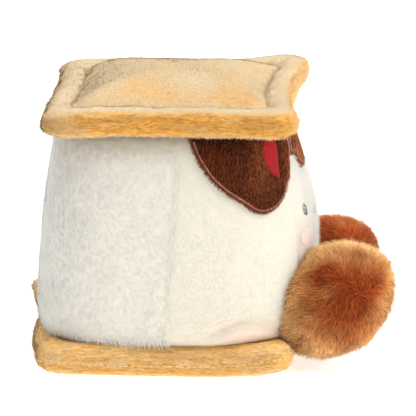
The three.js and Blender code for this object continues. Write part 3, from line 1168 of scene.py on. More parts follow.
@dataclass
class Cracker:
    """A square plush cushion whose topstitched line parts a fat rim from a puffed middle.

    Attributes:
        name: Of the piece and its node.
        middle: Height of its mid-plane.
        waists: How far each side is drawn in at its middle: left, back, right, front.
        upper_crown: From the mid-plane to the top of its crown.
        lower_crown: From the mid-plane down to the underside.
        lower_flatness: How soon the underside's crown flattens.
        bends: Its bent corners.
        seed: Of its relief and its pile.
        crest: How far its rim swells round what presses on its middle.
    """

    name: str
    middle: float
    waists: tuple[float, float, float, float]
    upper_crown: float
    lower_crown: float
    lower_flatness: float
    bends: tuple[CornerBend, ...]
    seed: int
    crest: float = 0.0

    HALF = 70.5
    CORNER = 11.0
    RIM = 16.0
    RIM_HEIGHT = 7.8
    STITCH_HEIGHT = 5.0
    EDGE_HEIGHT = 0.8
    ROUNDNESS = 2.8
    BEND_START = 0.25
    FACE_PILE = 1.7
    EDGE_EXTRA = 2.1  # how much longer the pile is along the edge
    BRUSHED = 3.5  # the way its faces are brushed, in radians from +X
    LOCKS = (20.0, 20.0, 2.4)  # length, width and height of the edge's combed locks
    SLOT = "cracker_plush"
    FILL = 0.8
    STITCHES = {  # pitch, share of the pitch, and half the width and height
        Finish.TAN_SEWING: (3.2, 0.78, 0.28, 0.25),
        Finish.PALE_SEWING: (3.4, 0.6, 0.24, 0.24),
    }
    SIDE_STEPS = 42
    CORNER_STEPS = 14
    PAD_STEPS = 18
    RIM_STEPS = 16

    def outline(self) -> Array:
        """The edge seam from above.

        Returns:
            Points round it.
        """
        straight = self.HALF - self.CORNER
        along = straight * (2 * np.arange(self.SIDE_STEPS) / self.SIDE_STEPS - 1)
        angle = np.arange(self.CORNER_STEPS) / self.CORNER_STEPS * math.pi / 2
        arc = straight + self.CORNER * np.stack([np.cos(angle), np.sin(angle)], 1)
        parts = []
        for quarter, waist in enumerate(self.waists):
            drawn = waist * (1 - (along / straight) ** 2)
            corner = np.vstack([np.stack([self.HALF - drawn, along], 1), arc])
            cos, sin = round(math.cos(quarter * math.pi / 2)), round(math.sin(quarter * math.pi / 2))
            parts.append(corner @ np.array([[cos, sin], [-sin, cos]]))
        return np.vstack(parts)

    def rim(self, inset: Array) -> Array:
        """Half the rim's thickness at a distance in from the edge seam.

        Args:
            inset: The distance.

        Returns:
            The half thickness.
        """
        across = inset / (self.RIM / 2) - 1
        low = np.where(across < 0, self.EDGE_HEIGHT, self.STITCH_HEIGHT)
        return low + (self.RIM_HEIGHT - low) * np.sqrt(np.maximum(0, 1 - across**2))

    def pad(self, out: Array, crown: float, flatness: float) -> Array:
        """Half the middle's thickness, where out is 1 at the stitching."""
        rise = np.minimum(1, flatness * (1 - out**self.ROUNDNESS))
        return self.STITCH_HEIGHT + (crown - self.STITCH_HEIGHT) * rise

    def bend(self, points: Array) -> Array:
        """The points after the corners are bent.

        Args:
            points: Points of the flat cushion.

        Returns:
            The moved points.
        """
        moved = points.copy()
        for corner in self.bends:
            sides = [
                np.maximum(0, points[..., axis] * sign / self.HALF - self.BEND_START)
                for axis, sign in enumerate((corner.x, corner.y))
            ]
            share = (sides[0] * sides[1] / (1 - self.BEND_START) ** 2) ** 1.5
            moved += share[..., None] * np.array(corner.push)
        return moved

    def stations(self) -> tuple[Array, Array]:
        """Where the rings run, from the top down.

        Returns:
            Each ring's distance in from the edge seam, and its height over the mid-plane.
        """
        out = (np.arange(1, self.PAD_STEPS + 1) / self.PAD_STEPS) ** 0.7
        pad_inset = self.HALF - out * (self.HALF - self.RIM)
        rim_inset = self.RIM / 2 * (1 + np.cos(np.arange(1, self.RIM_STEPS + 1) / self.RIM_STEPS * math.pi))
        inset = np.concatenate([pad_inset, rim_inset])
        above = np.concatenate([self.pad(out, self.upper_crown, 1), self.rim(rim_inset)])
        below = np.concatenate([self.pad(out, self.lower_crown, self.lower_flatness), self.rim(rim_inset)])
        return np.concatenate([inset, inset[::-1]]), np.concatenate([above, -below[::-1]])

    def shell(self) -> tuple[Shell, Array, Array]:
        """The cushion's surface with its relief.

        Returns:
            The surface, each ring's distance in from the edge seam, and its side: 1 above and -1 below.
        """
        inset, height = self.stations()
        outline = self.outline()
        flat = outline[None] * (1 - inset / self.HALF)[:, None, None]
        level = np.broadcast_to((self.middle + height)[:, None, None], (*flat.shape[:2], 1))
        rings = self.bend(np.concatenate([flat, level], -1))
        poles = (
            np.array([0, 0, self.middle + self.upper_crown]),
            np.array([0, 0, self.middle - self.lower_crown]),
        )
        shell = Shell(self.name, rings, poles)
        side = np.where(np.arange(len(inset)) < len(inset) / 2, 1.0, -1.0)
        inset, side = inset[:, None], side[:, None]
        broad = Waves(self.seed, 46.0)(rings)
        gathers = Waves(self.seed + 1, 9.0)(rings)
        pad_share = ramp(self.RIM, self.RIM + 14, inset)
        relief = 0.3 * broad * (1 - 0.8 * pad_share)
        relief = relief + 0.28 * gathers * bump(self.RIM, 6.5, inset)
        relief = relief - 0.6 * bump(self.RIM, 0.8, inset)
        relief = relief + 0.3 * self.locks(rings) * ramp(4.5, 2.0, inset)
        relief = relief * np.where(side > 0, 1.0, 0.5) * ramp(3.0, 6.5, rings[..., 2])
        if self.crest:
            relief = relief + self.crest * bump(self.RIM / 2 + 1, 6.0, inset) * (side > 0)
        shell.push(relief)
        return shell, inset, side

    def locks(self, points: Array) -> Array:
        """Random relief of the locks in which the pile lies along the edge."""
        return Waves(self.seed + 5, self.LOCKS)(points)

    def lie(self, shell: Shell, inset: Array, side: Array, lower: bool) -> dict[str, Array]:
        """How the pile lies: brushed on the faces, combed along the edge, and hanging below it.

        Args:
            shell: The surface.
            inset: Each ring's distance in from the edge seam.
            side: 1 above and -1 below.
            lower: Whether the toy stands on this one.

        Returns:
            The marks for the pile's growth.
        """
        rings, normals = shell.rings, shell.normals()
        around = unit(shell.around())
        swirl = 0.3 * Waves(self.seed + 2, 55.0)(rings) + self.BRUSHED
        brushed = np.stack([np.cos(swirl), np.sin(swirl), np.zeros_like(swirl)], -1)
        wander = Waves(self.seed + 3, (22.0, 22.0, 6.0))(rings)[..., None]
        combed = around - DOWN * (0.4 * wander - 0.15)
        facing = ramp(0.9, 0.35, np.abs(normals[..., 2]))[..., None]
        fringe = ((side < 0) * ramp(1.5, 4.0, inset) * ramp(11.0, 7.0, inset))[..., None]
        hanging = normals * [0.6, 0.6, 0] + DOWN
        flow = unit((brushed * (1 - facing) + combed * facing) * (1 - fringe) + hanging * fringe)
        lean = flattened(flow, normals) + normals * (0.2 + 0.04 * facing)
        reach = np.hypot(rings[..., 0], rings[..., 1])
        pressed = 1.0 if lower else -1.0
        hidden = (side == pressed) * ramp(60.0, 52.0, reach)
        floor = ramp(1.2, 3.2, rings[..., 2]) if lower else 1.0
        under = np.where(side < 0, ramp(24.0, 14.0, inset), 1.0) * 0.75 + 0.25
        return {
            "pile_density": (1 - hidden) * floor * np.minimum(under, floor),
            "pile_length": (self.FACE_PILE + self.EDGE_EXTRA * facing[..., 0]) * MM,
            "pile_lean": lean,
            # Painted shade: the fabric is darker along the topstitched groove.
            "rise": 0.5 - 0.3 * bump(self.RIM, 0.8, inset) * np.ones(rings.shape[:2]),
        }

    def upper_shades(self, shell: Shell, inset: Array, side: Array) -> dict[str, Array]:
        """A golden edge, paler behind and painted paler in front as the sheen of pile seen edge-on, and a
        tan face with a worn golden patch.

        Args:
            shell: The surface.
            inset: Each ring's distance in from the edge seam.
            side: 1 above and -1 below.

        Returns:
            Its marks for glow and shade.
        """
        (x, y, _), normals = np.moveaxis(shell.rings, -1, 0), shell.normals()
        golden = np.where(side > 0, ramp(4.6, 1.6, inset), 1.0) * np.ones_like(x)
        golden = golden * (0.95 - 0.14 * self.locks(shell.rings))
        # Painted sheen: the band that faces the front is paler, as pile seen edge-on looks.
        golden = golden * (1 - 0.4 * ramp(0.4, 0.95, -normals[..., 1])) * (1 - 0.55 * ramp(36.0, 66.0, y))
        worn = Waves(self.seed + 4, (24.0, 34.0, 40.0))(shell.rings)
        patch = bump(-40, 18, x) * bump(-24, 56, y) * (0.34 + 0.14 * worn) + 0.08 * worn
        golden = np.maximum(golden, patch * ramp(self.RIM, self.RIM + 8, inset))
        underside, roll = 0.85 * ramp(3.0, 6.0, inset), 0.22 * bump(9.5, 5.0, inset)
        glow = np.where(side < 0, underside, roll) * np.ones_like(x)
        return {"glow": glow, "shade": np.clip(golden, 0, 1.15)}

    def lower_shades(self, shell: Shell, inset: Array, side: Array) -> dict[str, Array]:
        """Golden all over, with a tan corner at the far back.

        Args:
            shell: The surface.
            inset: Each ring's distance in from the edge seam.
            side: 1 above and -1 below.

        Returns:
            Its marks for glow and shade.
        """
        x, y, _ = np.moveaxis(shell.rings, -1, 0)
        tan = ramp(8, 22, x - 40) * ramp(0, 16, y - 56)
        golden = np.clip(0.95 - 0.2 * self.locks(shell.rings), 0, 1.1) * (1 - 0.75 * tan)
        glow = np.where(side < 0, 0.6 * ramp(2.0, 5.0, inset), 0.15 * ramp(6.0, 2.0, inset))
        return {"glow": glow * np.ones_like(x), "shade": np.clip(golden, 0, 1.15)}

    def build(self, shop: Workshop, lower: bool) -> Shell:
        """Makes the cushion and its sewing.

        Args:
            shop: Gives materials and trees.
            lower: Whether the toy stands on this one.

        Returns:
            The cushion's surface without its pile.
        """
        shell, inset, side = self.shell()
        shades = self.lower_shades if lower else self.upper_shades
        shell.marks = self.lie(shell, inset, side, lower) | shades(shell, inset, side)
        finish = Finish.BRIGHTENED_LOW_CRACKER if lower else Finish.CRACKER
        density = shell.marks["pile_density"]
        edge = ramp(0.8, 0.4, np.abs(shell.normals()[..., 2])) * ramp(8.5, 6.5, inset)
        shell.marks["pile_density"] = density * edge
        cushion = dress(shop, shell, Growth.RIM.seeded(self.seed), finish)
        shop.keep(cushion, self.name + "_cushion", self.name)
        shell.marks["pile_density"] = density * (1 - edge)
        short = Growth.FACE.seeded(self.seed + 9)
        nap(shop, shell, short, finish, self.name + "_nap", self.name)
        self.topstitch(shop, shell, inset, side)
        if lower:
            self.edge_stitch(shop, shell)
        return shell

    def topstitch(self, shop: Workshop, shell: Shell, inset: Array, side: Array) -> None:
        """Sews the line that parts the rim from the middle, on the upper face.

        Args:
            shop: Gives tree and material.
            shell: The surface.
            inset: Each ring's distance in from the edge seam.
            side: 1 above and -1 below.
        """
        below = 99 * (side[:, 0] < 0)
        ring = int(np.argmin(np.abs(inset[:, 0] - self.RIM) + below))
        out = shell.normals()[ring]
        self.stitch_round(shop, shell.rings[ring] + out * 0.35, out, "_topstitching", Finish.TAN_SEWING)

    def edge_stitch(self, shop: Workshop, shell: Shell) -> None:
        """Sews the line that closes the edge seam, over its pile.

        Args:
            shop: Gives tree and material.
            shell: The surface.
        """
        normals, last = shell.normals(), len(shell.rings) // 2
        line = (shell.rings[last - 1] + shell.rings[last]) / 2
        out = unit(normals[last - 1] + normals[last])
        self.stitch_round(shop, line + out * 1.0, out, "_edge_stitching", Finish.PALE_SEWING)

    def stitch_round(self, shop: Workshop, line: Array, out: Array, ending: str, finish: Finish) -> None:
        """Makes a closed line of stitches.

        Args:
            shop: Gives tree and thread.
            line: Points round the cushion.
            out: The way out of the fabric at each of them.
            ending: Of the piece's name.
            finish: The thread.
        """
        pitch, share, width, height = self.STITCHES[finish]
        closed, ups = np.vstack([line, line[:1]]), np.vstack([out, out[:1]])
        sewn = shop.sew(Stitches.along(closed, ups, pitch, share, width, height), finish)
        shop.keep(sewn, self.name + ending, self.name)


# ---- Marshmallow ----
@dataclass
class Marshmallow:
    """The stuffed body: a long-pile back, short-pile sides and a fuzzy front, sewn together.

    A place on it is a bearing, in degrees from straight sideways towards the front, and a height. Bearings
    run from 90 in front to -90 at the back, on the toy's left (side 1) or its right (side -1).

    Attributes:
        bottom: Height of its underside.
        top: Height of its upper side.
        belly: Height at which it is widest.
        front: How far it reaches in front of the middle, there.
        back: How far it reaches behind the middle.
        side: How far it reaches to each side.
        levels: Rings from top to bottom.
        steps: Points round each ring.
    """

    bottom: float = 13.6
    top: float = 138.4
    belly: float = 60.0
    front: float = 78.8
    back: float = 77.3
    side: float = 70.0
    levels: int = 92
    steps: int = 288

    FRONT_DRAW = 0.23  # how far each side is drawn in at the top, as a share
    BACK_DRAW = 0.156
    SIDE_DRAW = 0.15
    FRONT_SQUARENESS = 3.0
    BACK_SQUARENESS = 3.8
    CORNER_SEAM = 58.0
    REAR_SEAM = 6.0  # bearing of the back panel's seam, at the top
    REAR_SEAM_TURN = 8.4  # how far it has gone back, at the bottom
    CREASE_FOOT = 110.0
    CREASE_BEARING = 49.8
    CREASE_SLOPE = 0.07
    DEGREES_PER_MM = 0.78
    PUCKER = 9.0  # from one pucker of a seam to the next
    FOLD = 2.4
    FOLD_DEPTH = 6.0
    REAR_PILE = 6.5
    SIDE_PILE = 1.7
    FRONT_PILE = 4.2

    def reach(self, z: Array, forward: Array) -> tuple[Array, Array, Array]:
        """Radii of the plan outline at a height.

        Args:
            z: The height.
            forward: Above 0 in front of the middle.

        Returns:
            The radius along Y, the radius along X, and the outline's exponent.
        """
        up = np.clip((z - self.belly) / (self.top - self.belly), 0, 1)
        down = np.clip((self.belly - z) / (self.belly - self.bottom), 0, 1)
        rounding = ((1 - up**22) * (1 - down**9)) ** 0.25
        rise = np.clip((z - self.bottom) / (self.top - self.bottom), 0, 1)
        front = self.front * (1 - self.FRONT_DRAW * (1 - np.cos(up**1.35 * math.pi)) / 2)
        back = self.back * (1 - self.BACK_DRAW * rise**2.15)
        along = np.where(forward > 0, front, back) * rounding
        squareness = np.where(forward > 0, self.FRONT_SQUARENESS, self.BACK_SQUARENESS)
        return along, self.side * (1 - self.SIDE_DRAW * up**2) * rounding, squareness

    def radius(self, bearing: Array, z: Array) -> Array:
        """How far the surface is from the middle axis, without its seams and folds.

        Args:
            bearing: Of each place.
            z: Each place's height.

        Returns:
            The distance.
        """
        angle = np.radians(bearing)
        along, across, exponent = self.reach(z, bearing)
        powers = (np.abs(np.cos(angle)) / across) ** exponent + (np.abs(np.sin(angle)) / along) ** exponent
        return powers ** (-1 / exponent)

    def relief(self, bearing: Array, z: Array, side: Array) -> Array:
        """Seams, folds and dents, as changes of the radius.

        Args:
            bearing: Of each place.
            z: Each place's height.
            side: 1 on the toy's left and -1 on its right.

        Returns:
            The change at each place.
        """
        middle = ramp(self.bottom + 1, self.bottom + 10, z) * ramp(self.top - 0.5, self.top - 6, z)
        puckers = 0.5 + 0.5 * np.cos(z * 2 * math.pi / self.PUCKER + 1.5 * np.sin(z / 7.0))
        corner = (bearing - self.CORNER_SEAM) / self.DEGREES_PER_MM
        seam = -(0.9 + 0.5 * puckers) * bump(0, 1.6, corner)
        rear = (bearing - self.rear_seam(z)) / self.DEGREES_PER_MM
        seam = seam - (0.15 + 0.2 * puckers) * bump(0, 2.6, rear)
        near = np.where(side < 0, 1.0, 0.0)
        across = (bearing - self.crease(z)) / self.DEGREES_PER_MM
        strength = ramp(102, 116, z) * near
        fold = np.where(across < self.FOLD, ramp(-0.5, self.FOLD, across), ramp(7.0, self.FOLD, across))
        fold = -self.FOLD_DEPTH * fold * strength
        lip = 0.35 * ramp(34, 50, bearing) + 0.65 * ramp(self.FOLD, self.FOLD + 5.0, across)
        bulge = 0.36 * np.maximum(0, z - 107) * lip * ramp(86, 60, bearing) * near
        arch = 24 + 9 * bump(34, 13, bearing)
        dent = -2.6 * bump(30, 15, bearing) * (bump(arch, 3.2, z) - 0.6 * bump(arch - 6, 4.0, z))
        tuck = -0.9 * bump(-28, 22, bearing) * bump(132, 5, z)
        sunk = 1.2 * ramp(1.5, -1.5, rear) + 1.0 * ramp(-0.6, 0.6, corner)
        settled = sunk * ramp(self.bottom, self.bottom + 4, z) * ramp(self.top, self.top - 3, z)
        return (seam + dent + tuck) * middle + fold + bulge * ramp(self.top, self.top - 2, z) - settled

    def rear_seam(self, z: Array) -> Array:
        """Bearing of the seam between the back and a side."""
        return self.REAR_SEAM - self.REAR_SEAM_TURN * (self.top - z) / (self.top - self.bottom)

    def crease(self, z: Array) -> Array:
        """Bearing of the fold through the heart."""
        return self.CREASE_BEARING + self.CREASE_SLOPE * (z - self.CREASE_FOOT)

    def place(self, bearing: Array, z: Array, side: float | Array, height: Array | float = 0.0) -> Array:
        """Points on or over the surface.

        Args:
            bearing: Of each point.
            z: Height of the surface point.
            side: 1 on the toy's left and -1 on its right.
            height: Distance out from the surface.

        Returns:
            The points, in mm.
        """
        found = self.on_surface(bearing, z, side)
        return found + self.out(bearing, z, side) * np.asarray(height)[..., None]

    def on_surface(self, bearing: Array, z: Array, side: float | Array, plain: bool = False) -> Array:
        """Points on the surface, with its seams and folds or without them.

        Args:
            bearing: Of each place.
            z: Each place's height.
            side: 1 on the toy's left and -1 on its right.
            plain: Whether seams and folds are left out.

        Returns:
            The points.
        """
        radius = self.radius(bearing, z)
        if not plain:
            radius = radius + self.relief(bearing, z, np.asarray(side))
        angle = np.radians(bearing)
        return np.stack([side * radius * np.cos(angle), -radius * np.sin(angle), z + 0 * radius], -1)

    def out(self, bearing: Array, z: Array, side: float | Array) -> Array:
        """The way out of the surface at each place, past its seams and folds.

        Args:
            bearing: Of each place.
            z: Each place's height.
            side: 1 on the toy's left and -1 on its right.

        Returns:
            Unit directions.
        """
        step = 0.6
        ahead = self.on_surface(bearing + step, z, side, plain=True)
        right = ahead - self.on_surface(bearing - step, z, side, plain=True)
        above = self.on_surface(bearing, z + step, side, plain=True)
        up = above - self.on_surface(bearing, z - step, side, plain=True)
        return unit(np.cross(right, up) * -np.asarray(side, float)[..., None])

    def shell(self) -> Shell:
        """The whole surface with its relief.

        Returns:
            The surface.
        """
        edge = 0.004
        share = (1 - np.cos(np.arange(self.levels + 1) / self.levels * math.pi)) / 2
        heights = self.top - (edge + share * (1 - 2 * edge)) * (self.top - self.bottom)
        angle = np.arange(self.steps) / self.steps * 2 * math.pi
        side = np.where(np.cos(angle) >= 0, 1.0, -1.0)
        bearing = np.degrees(np.arcsin(-np.sin(angle)))
        z = heights[:, None] * np.ones(self.steps)
        rings = self.on_surface(bearing[None], z, side[None])
        caps = [rings[:1] * [share, share, 1] for share in (0.3, 0.65)]
        feet = [rings[-1:] * [share, share, 1] for share in (0.65, 0.3)]
        rings = np.concatenate([*caps, rings, *feet])
        poles = np.array([0, 0, heights[0]]), np.array([0, 0, heights[-1]])
        return Shell("marshmallow", rings, poles)


@dataclass
class BodyFabric:
    """Dresses the marshmallow: how its pile lies, its colours, and the shade painted on its back and in its
    low folds.

    Attributes:
        body: The marshmallow.
    """

    body: Marshmallow

    NODE = "marshmallow"
    SLOT = "marshmallow_plush"
    FILL = 0.8
    SUNK = 0.5  # how far under the surface the back's and the front's fibres have their roots

    def zones(self, shell: Shell) -> tuple[Array, Array, Array, Array]:
        """Which panel each point is on.

        Args:
            shell: The marshmallow's surface.

        Returns:
            The share of back panel, side panel and front panel, and the bearing, at each point.
        """
        x, y, z = np.moveaxis(shell.rings, -1, 0)
        bearing = np.degrees(np.arctan2(-y, np.abs(x)))
        rear = ramp(0.8, -0.8, bearing - self.body.rear_seam(z))
        front = ramp(-0.8, 0.8, bearing - self.body.CORNER_SEAM)
        return rear, 1 - rear - front, front, bearing

    def build(self, shop: Workshop, covers: Callable[[Array, Array, Array], Array]) -> Shell:
        """Makes the body and its three kinds of pile.

        Args:
            shop: Gives materials and trees.
            covers: Tells, from bearings, heights and sides, where a patch covers the fabric.

        Returns:
            The body's surface without its pile.
        """
        shell = self.body.shell()
        rings, normals = shell.rings, shell.normals()
        rear, flank, front, bearing = self.zones(shell)
        x, _, z = np.moveaxis(rings, -1, 0)
        side = np.where(x < 0, -1.0, 1.0)
        clear = (1 - covers(bearing, z, side)) * ramp(137.0, 134.0, z) * ramp(14.2, 16.5, z)
        wander = Waves(61, (30.0, 30.0, 24.0))(rings)
        flow = unit(DOWN + unit(shell.around()) * 0.25 * wander[..., None])
        flow = unit(flattened(flow, normals))
        # Painted shade: a warm pinkish tint in the fold low on the side and under the belly where it curves
        # in.
        painted_fold_shade = bump(36, 16, bearing) * bump(25, 9, z) * 0.6 + bump(16, 30, bearing) * bump(15, 4, z) * 0.4
        # Painted shade: the back panel turns grey, darker further round the back, where less light falls.
        painted_rear_shade = ramp(8.0, -8.0, bearing - self.body.rear_seam(z)) * (0.12 + 0.5 * ramp(-14, -62, bearing))
        shared = {"shade": painted_rear_shade, "glow": painted_fold_shade * (1 - 0.8 * rear), "rise": 0.85 * np.ones_like(z)}
        shell.marks = shared | {
            "pile_density": flank * clear,
            "pile_length": self.body.SIDE_PILE * MM * np.ones_like(z),
            "pile_lean": flow + normals * 0.7,
        }
        pile = Growth.SIDE.seeded(11)
        nap(shop, shell, pile, Finish.CREAM, "marshmallow_side_pile", self.NODE)
        shop.keep(bare(shop, shell, Finish.CREAM), "marshmallow_body", self.NODE)
        hanging = shared | {
            "pile_density": rear * clear,
            "pile_length": self.body.REAR_PILE * MM * (0.75 + 0.75 * ramp(30, 17, z)),
            "pile_lean": flow + normals * (0.24 + 0.2 * ramp(34, 16, z))[..., None],
        }
        self.panel(shop, shell, hanging, Growth.BACK.seeded(12), "marshmallow_back_pile")
        eyes = np.hypot(np.abs(x) - Embroidery.EYE_SIDE, z - Embroidery.EYE_Z)
        cheeks = np.hypot(np.abs(x) - Embroidery.CHEEK_SIDE, z - Embroidery.CHEEK_Z)
        face = front * clear * ramp(Embroidery.EYE_CLEAR, Embroidery.EYE_RADIUS + 1.0, eyes)
        fuzzy = shared | {
            # The front's glow is the cheeks' own blush where that is stronger than half the painted fold
            # shade.
            "glow": np.maximum(shared["glow"] * 0.5, ramp(11.0, 5.0, cheeks) * front),
            "pile_density": face,
            "pile_length": self.body.FRONT_PILE * MM * np.ones_like(z),
            "pile_lean": flow * 0.7 + normals * 0.6,
        }
        self.panel(shop, shell, fuzzy, Growth.FRONT.seeded(13), "marshmallow_front_pile")
        return shell

    def panel(self, shop: Workshop, shell: Shell, marks: dict[str, Array], pile: Pile, name: str) -> None:
        """Grows the pile of one panel.

        Args:
            shop: Gives materials and trees.
            shell: The marshmallow's surface.
            marks: The panel's colours, and how its pile lies.
            pile: How the pile grows.
            name: Of the piece.
        """
        sunk = Shell(name, shell.rings - shell.normals() * self.SUNK, shell.poles, marks)
        nap(shop, sunk, pile, Finish.FUZZ, name, self.NODE)


# ---- Patches on the marshmallow ----
@dataclass
class Patch:
    """A piece of fabric sewn on the marshmallow, from its outline in bearings and heights.

    Attributes:
        name: Of the piece.
        body: What it lies on.
        side: 1 on the toy's left and -1 on its right. A patch across the front has bearings past 90.
        outline: Bearing and height of each point round its edge.
        middle: Bearing and height of a point that sees the whole edge.
        floor: Height of its underside over the marshmallow.
        thickness: Its greatest thickness.
        roll: How far in its edge is rounded.
        inset: How far in from the edge each point of its upper side is, once it is made.
    """

    name: str
    body: Marshmallow
    side: float
    outline: Array
    middle: tuple[float, float]
    floor: float = 0.3
    thickness: float = 2.4
    roll: float = 2.6
    inset: Array = field(init=False)

    RINGS = 26
    UNDER = (1.0, 0.97, 0.6)  # the underside's rings, as shares of the outline
    PROBE = 5  # a ring near the middle, which tells whether the surface is inside out

    def spot(self, bearing: Array, z: Array, height: Array | float) -> Array:
        """A place over the marshmallow, also where the bearing has gone past the front.

        Args:
            bearing: Of each place.
            z: Each place's height.
            height: Above the marshmallow.

        Returns:
            The point.
        """
        past = bearing > 90
        folded = np.where(past, 180 - bearing, bearing)
        side = np.where(past, -self.side, self.side)
        points = self.body.on_surface(folded, z, side)
        out = self.body.out(folded, z, side)
        return points + out * np.asarray(height)[..., None]

    def shell(self) -> Shell:
        """The patch as a thin closed cushion.

        Returns:
            Its surface.
        """
        middle = np.array(self.middle)
        shares = (np.arange(1, self.RINGS + 1) / self.RINGS) ** 0.8
        flat = middle + (self.outline - middle)[None] * shares[:, None, None]
        bearing, z = flat[..., 0], flat[..., 1]
        edge = self.spot(self.outline[:, 0], self.outline[:, 1], np.zeros(len(self.outline)))
        lying = self.spot(bearing, z, np.zeros(bearing.shape))
        self.inset = np.min(np.linalg.norm(lying[:, :, None] - edge[None, None], axis=-1), axis=-1)
        near = np.clip(self.inset / self.roll, 0, 1)
        height = self.floor + self.thickness * np.sqrt(1 - (1 - near) ** 2)
        above = self.spot(bearing, z, height)
        under = middle + (self.outline - middle)[None] * np.array(self.UNDER)[:, None, None]
        below = self.spot(under[..., 0], under[..., 1], np.full(under.shape[:2], self.floor))
        tip = self.spot(middle[:1], middle[1:], np.array([self.floor + self.thickness]))[0]
        base = self.spot(middle[:1], middle[1:], np.array([self.floor]))[0]
        rings = np.concatenate([above, below])
        shell = Shell(self.name, rings, (tip, base))
        if (shell.normals()[self.PROBE] * (rings[self.PROBE] * [1, 1, 0])).sum() < 0:
            rings = rings[:, ::-1]
            self.inset = self.inset[:, ::-1]
            shell = Shell(self.name, rings, (tip, base))
        return shell

    def covers(self, bearing: Array, z: Array, side: Array) -> Array:
        """How far the patch covers each place on the marshmallow, from 0 to 1.

        Args:
            bearing: Of each place.
            z: Each place's height.
            side: 1 on the toy's left and -1 on its right.

        Returns:
            The cover at each place.
        """
        wide = np.where(side == self.side, bearing, 180 - bearing)
        middle = np.array(self.middle)
        away = np.stack([wide - middle[0], z - middle[1]], -1)
        turn = np.arctan2(away[..., 1], away[..., 0])
        rim = self.outline - middle
        order = np.argsort(np.arctan2(rim[:, 1], rim[:, 0]))
        angles = np.arctan2(rim[:, 1], rim[:, 0])[order]
        limit = np.interp(turn, angles, np.linalg.norm(rim, axis=1)[order], period=2 * math.pi)
        return ramp(1.0, 0.93, np.linalg.norm(away, axis=-1) / limit)


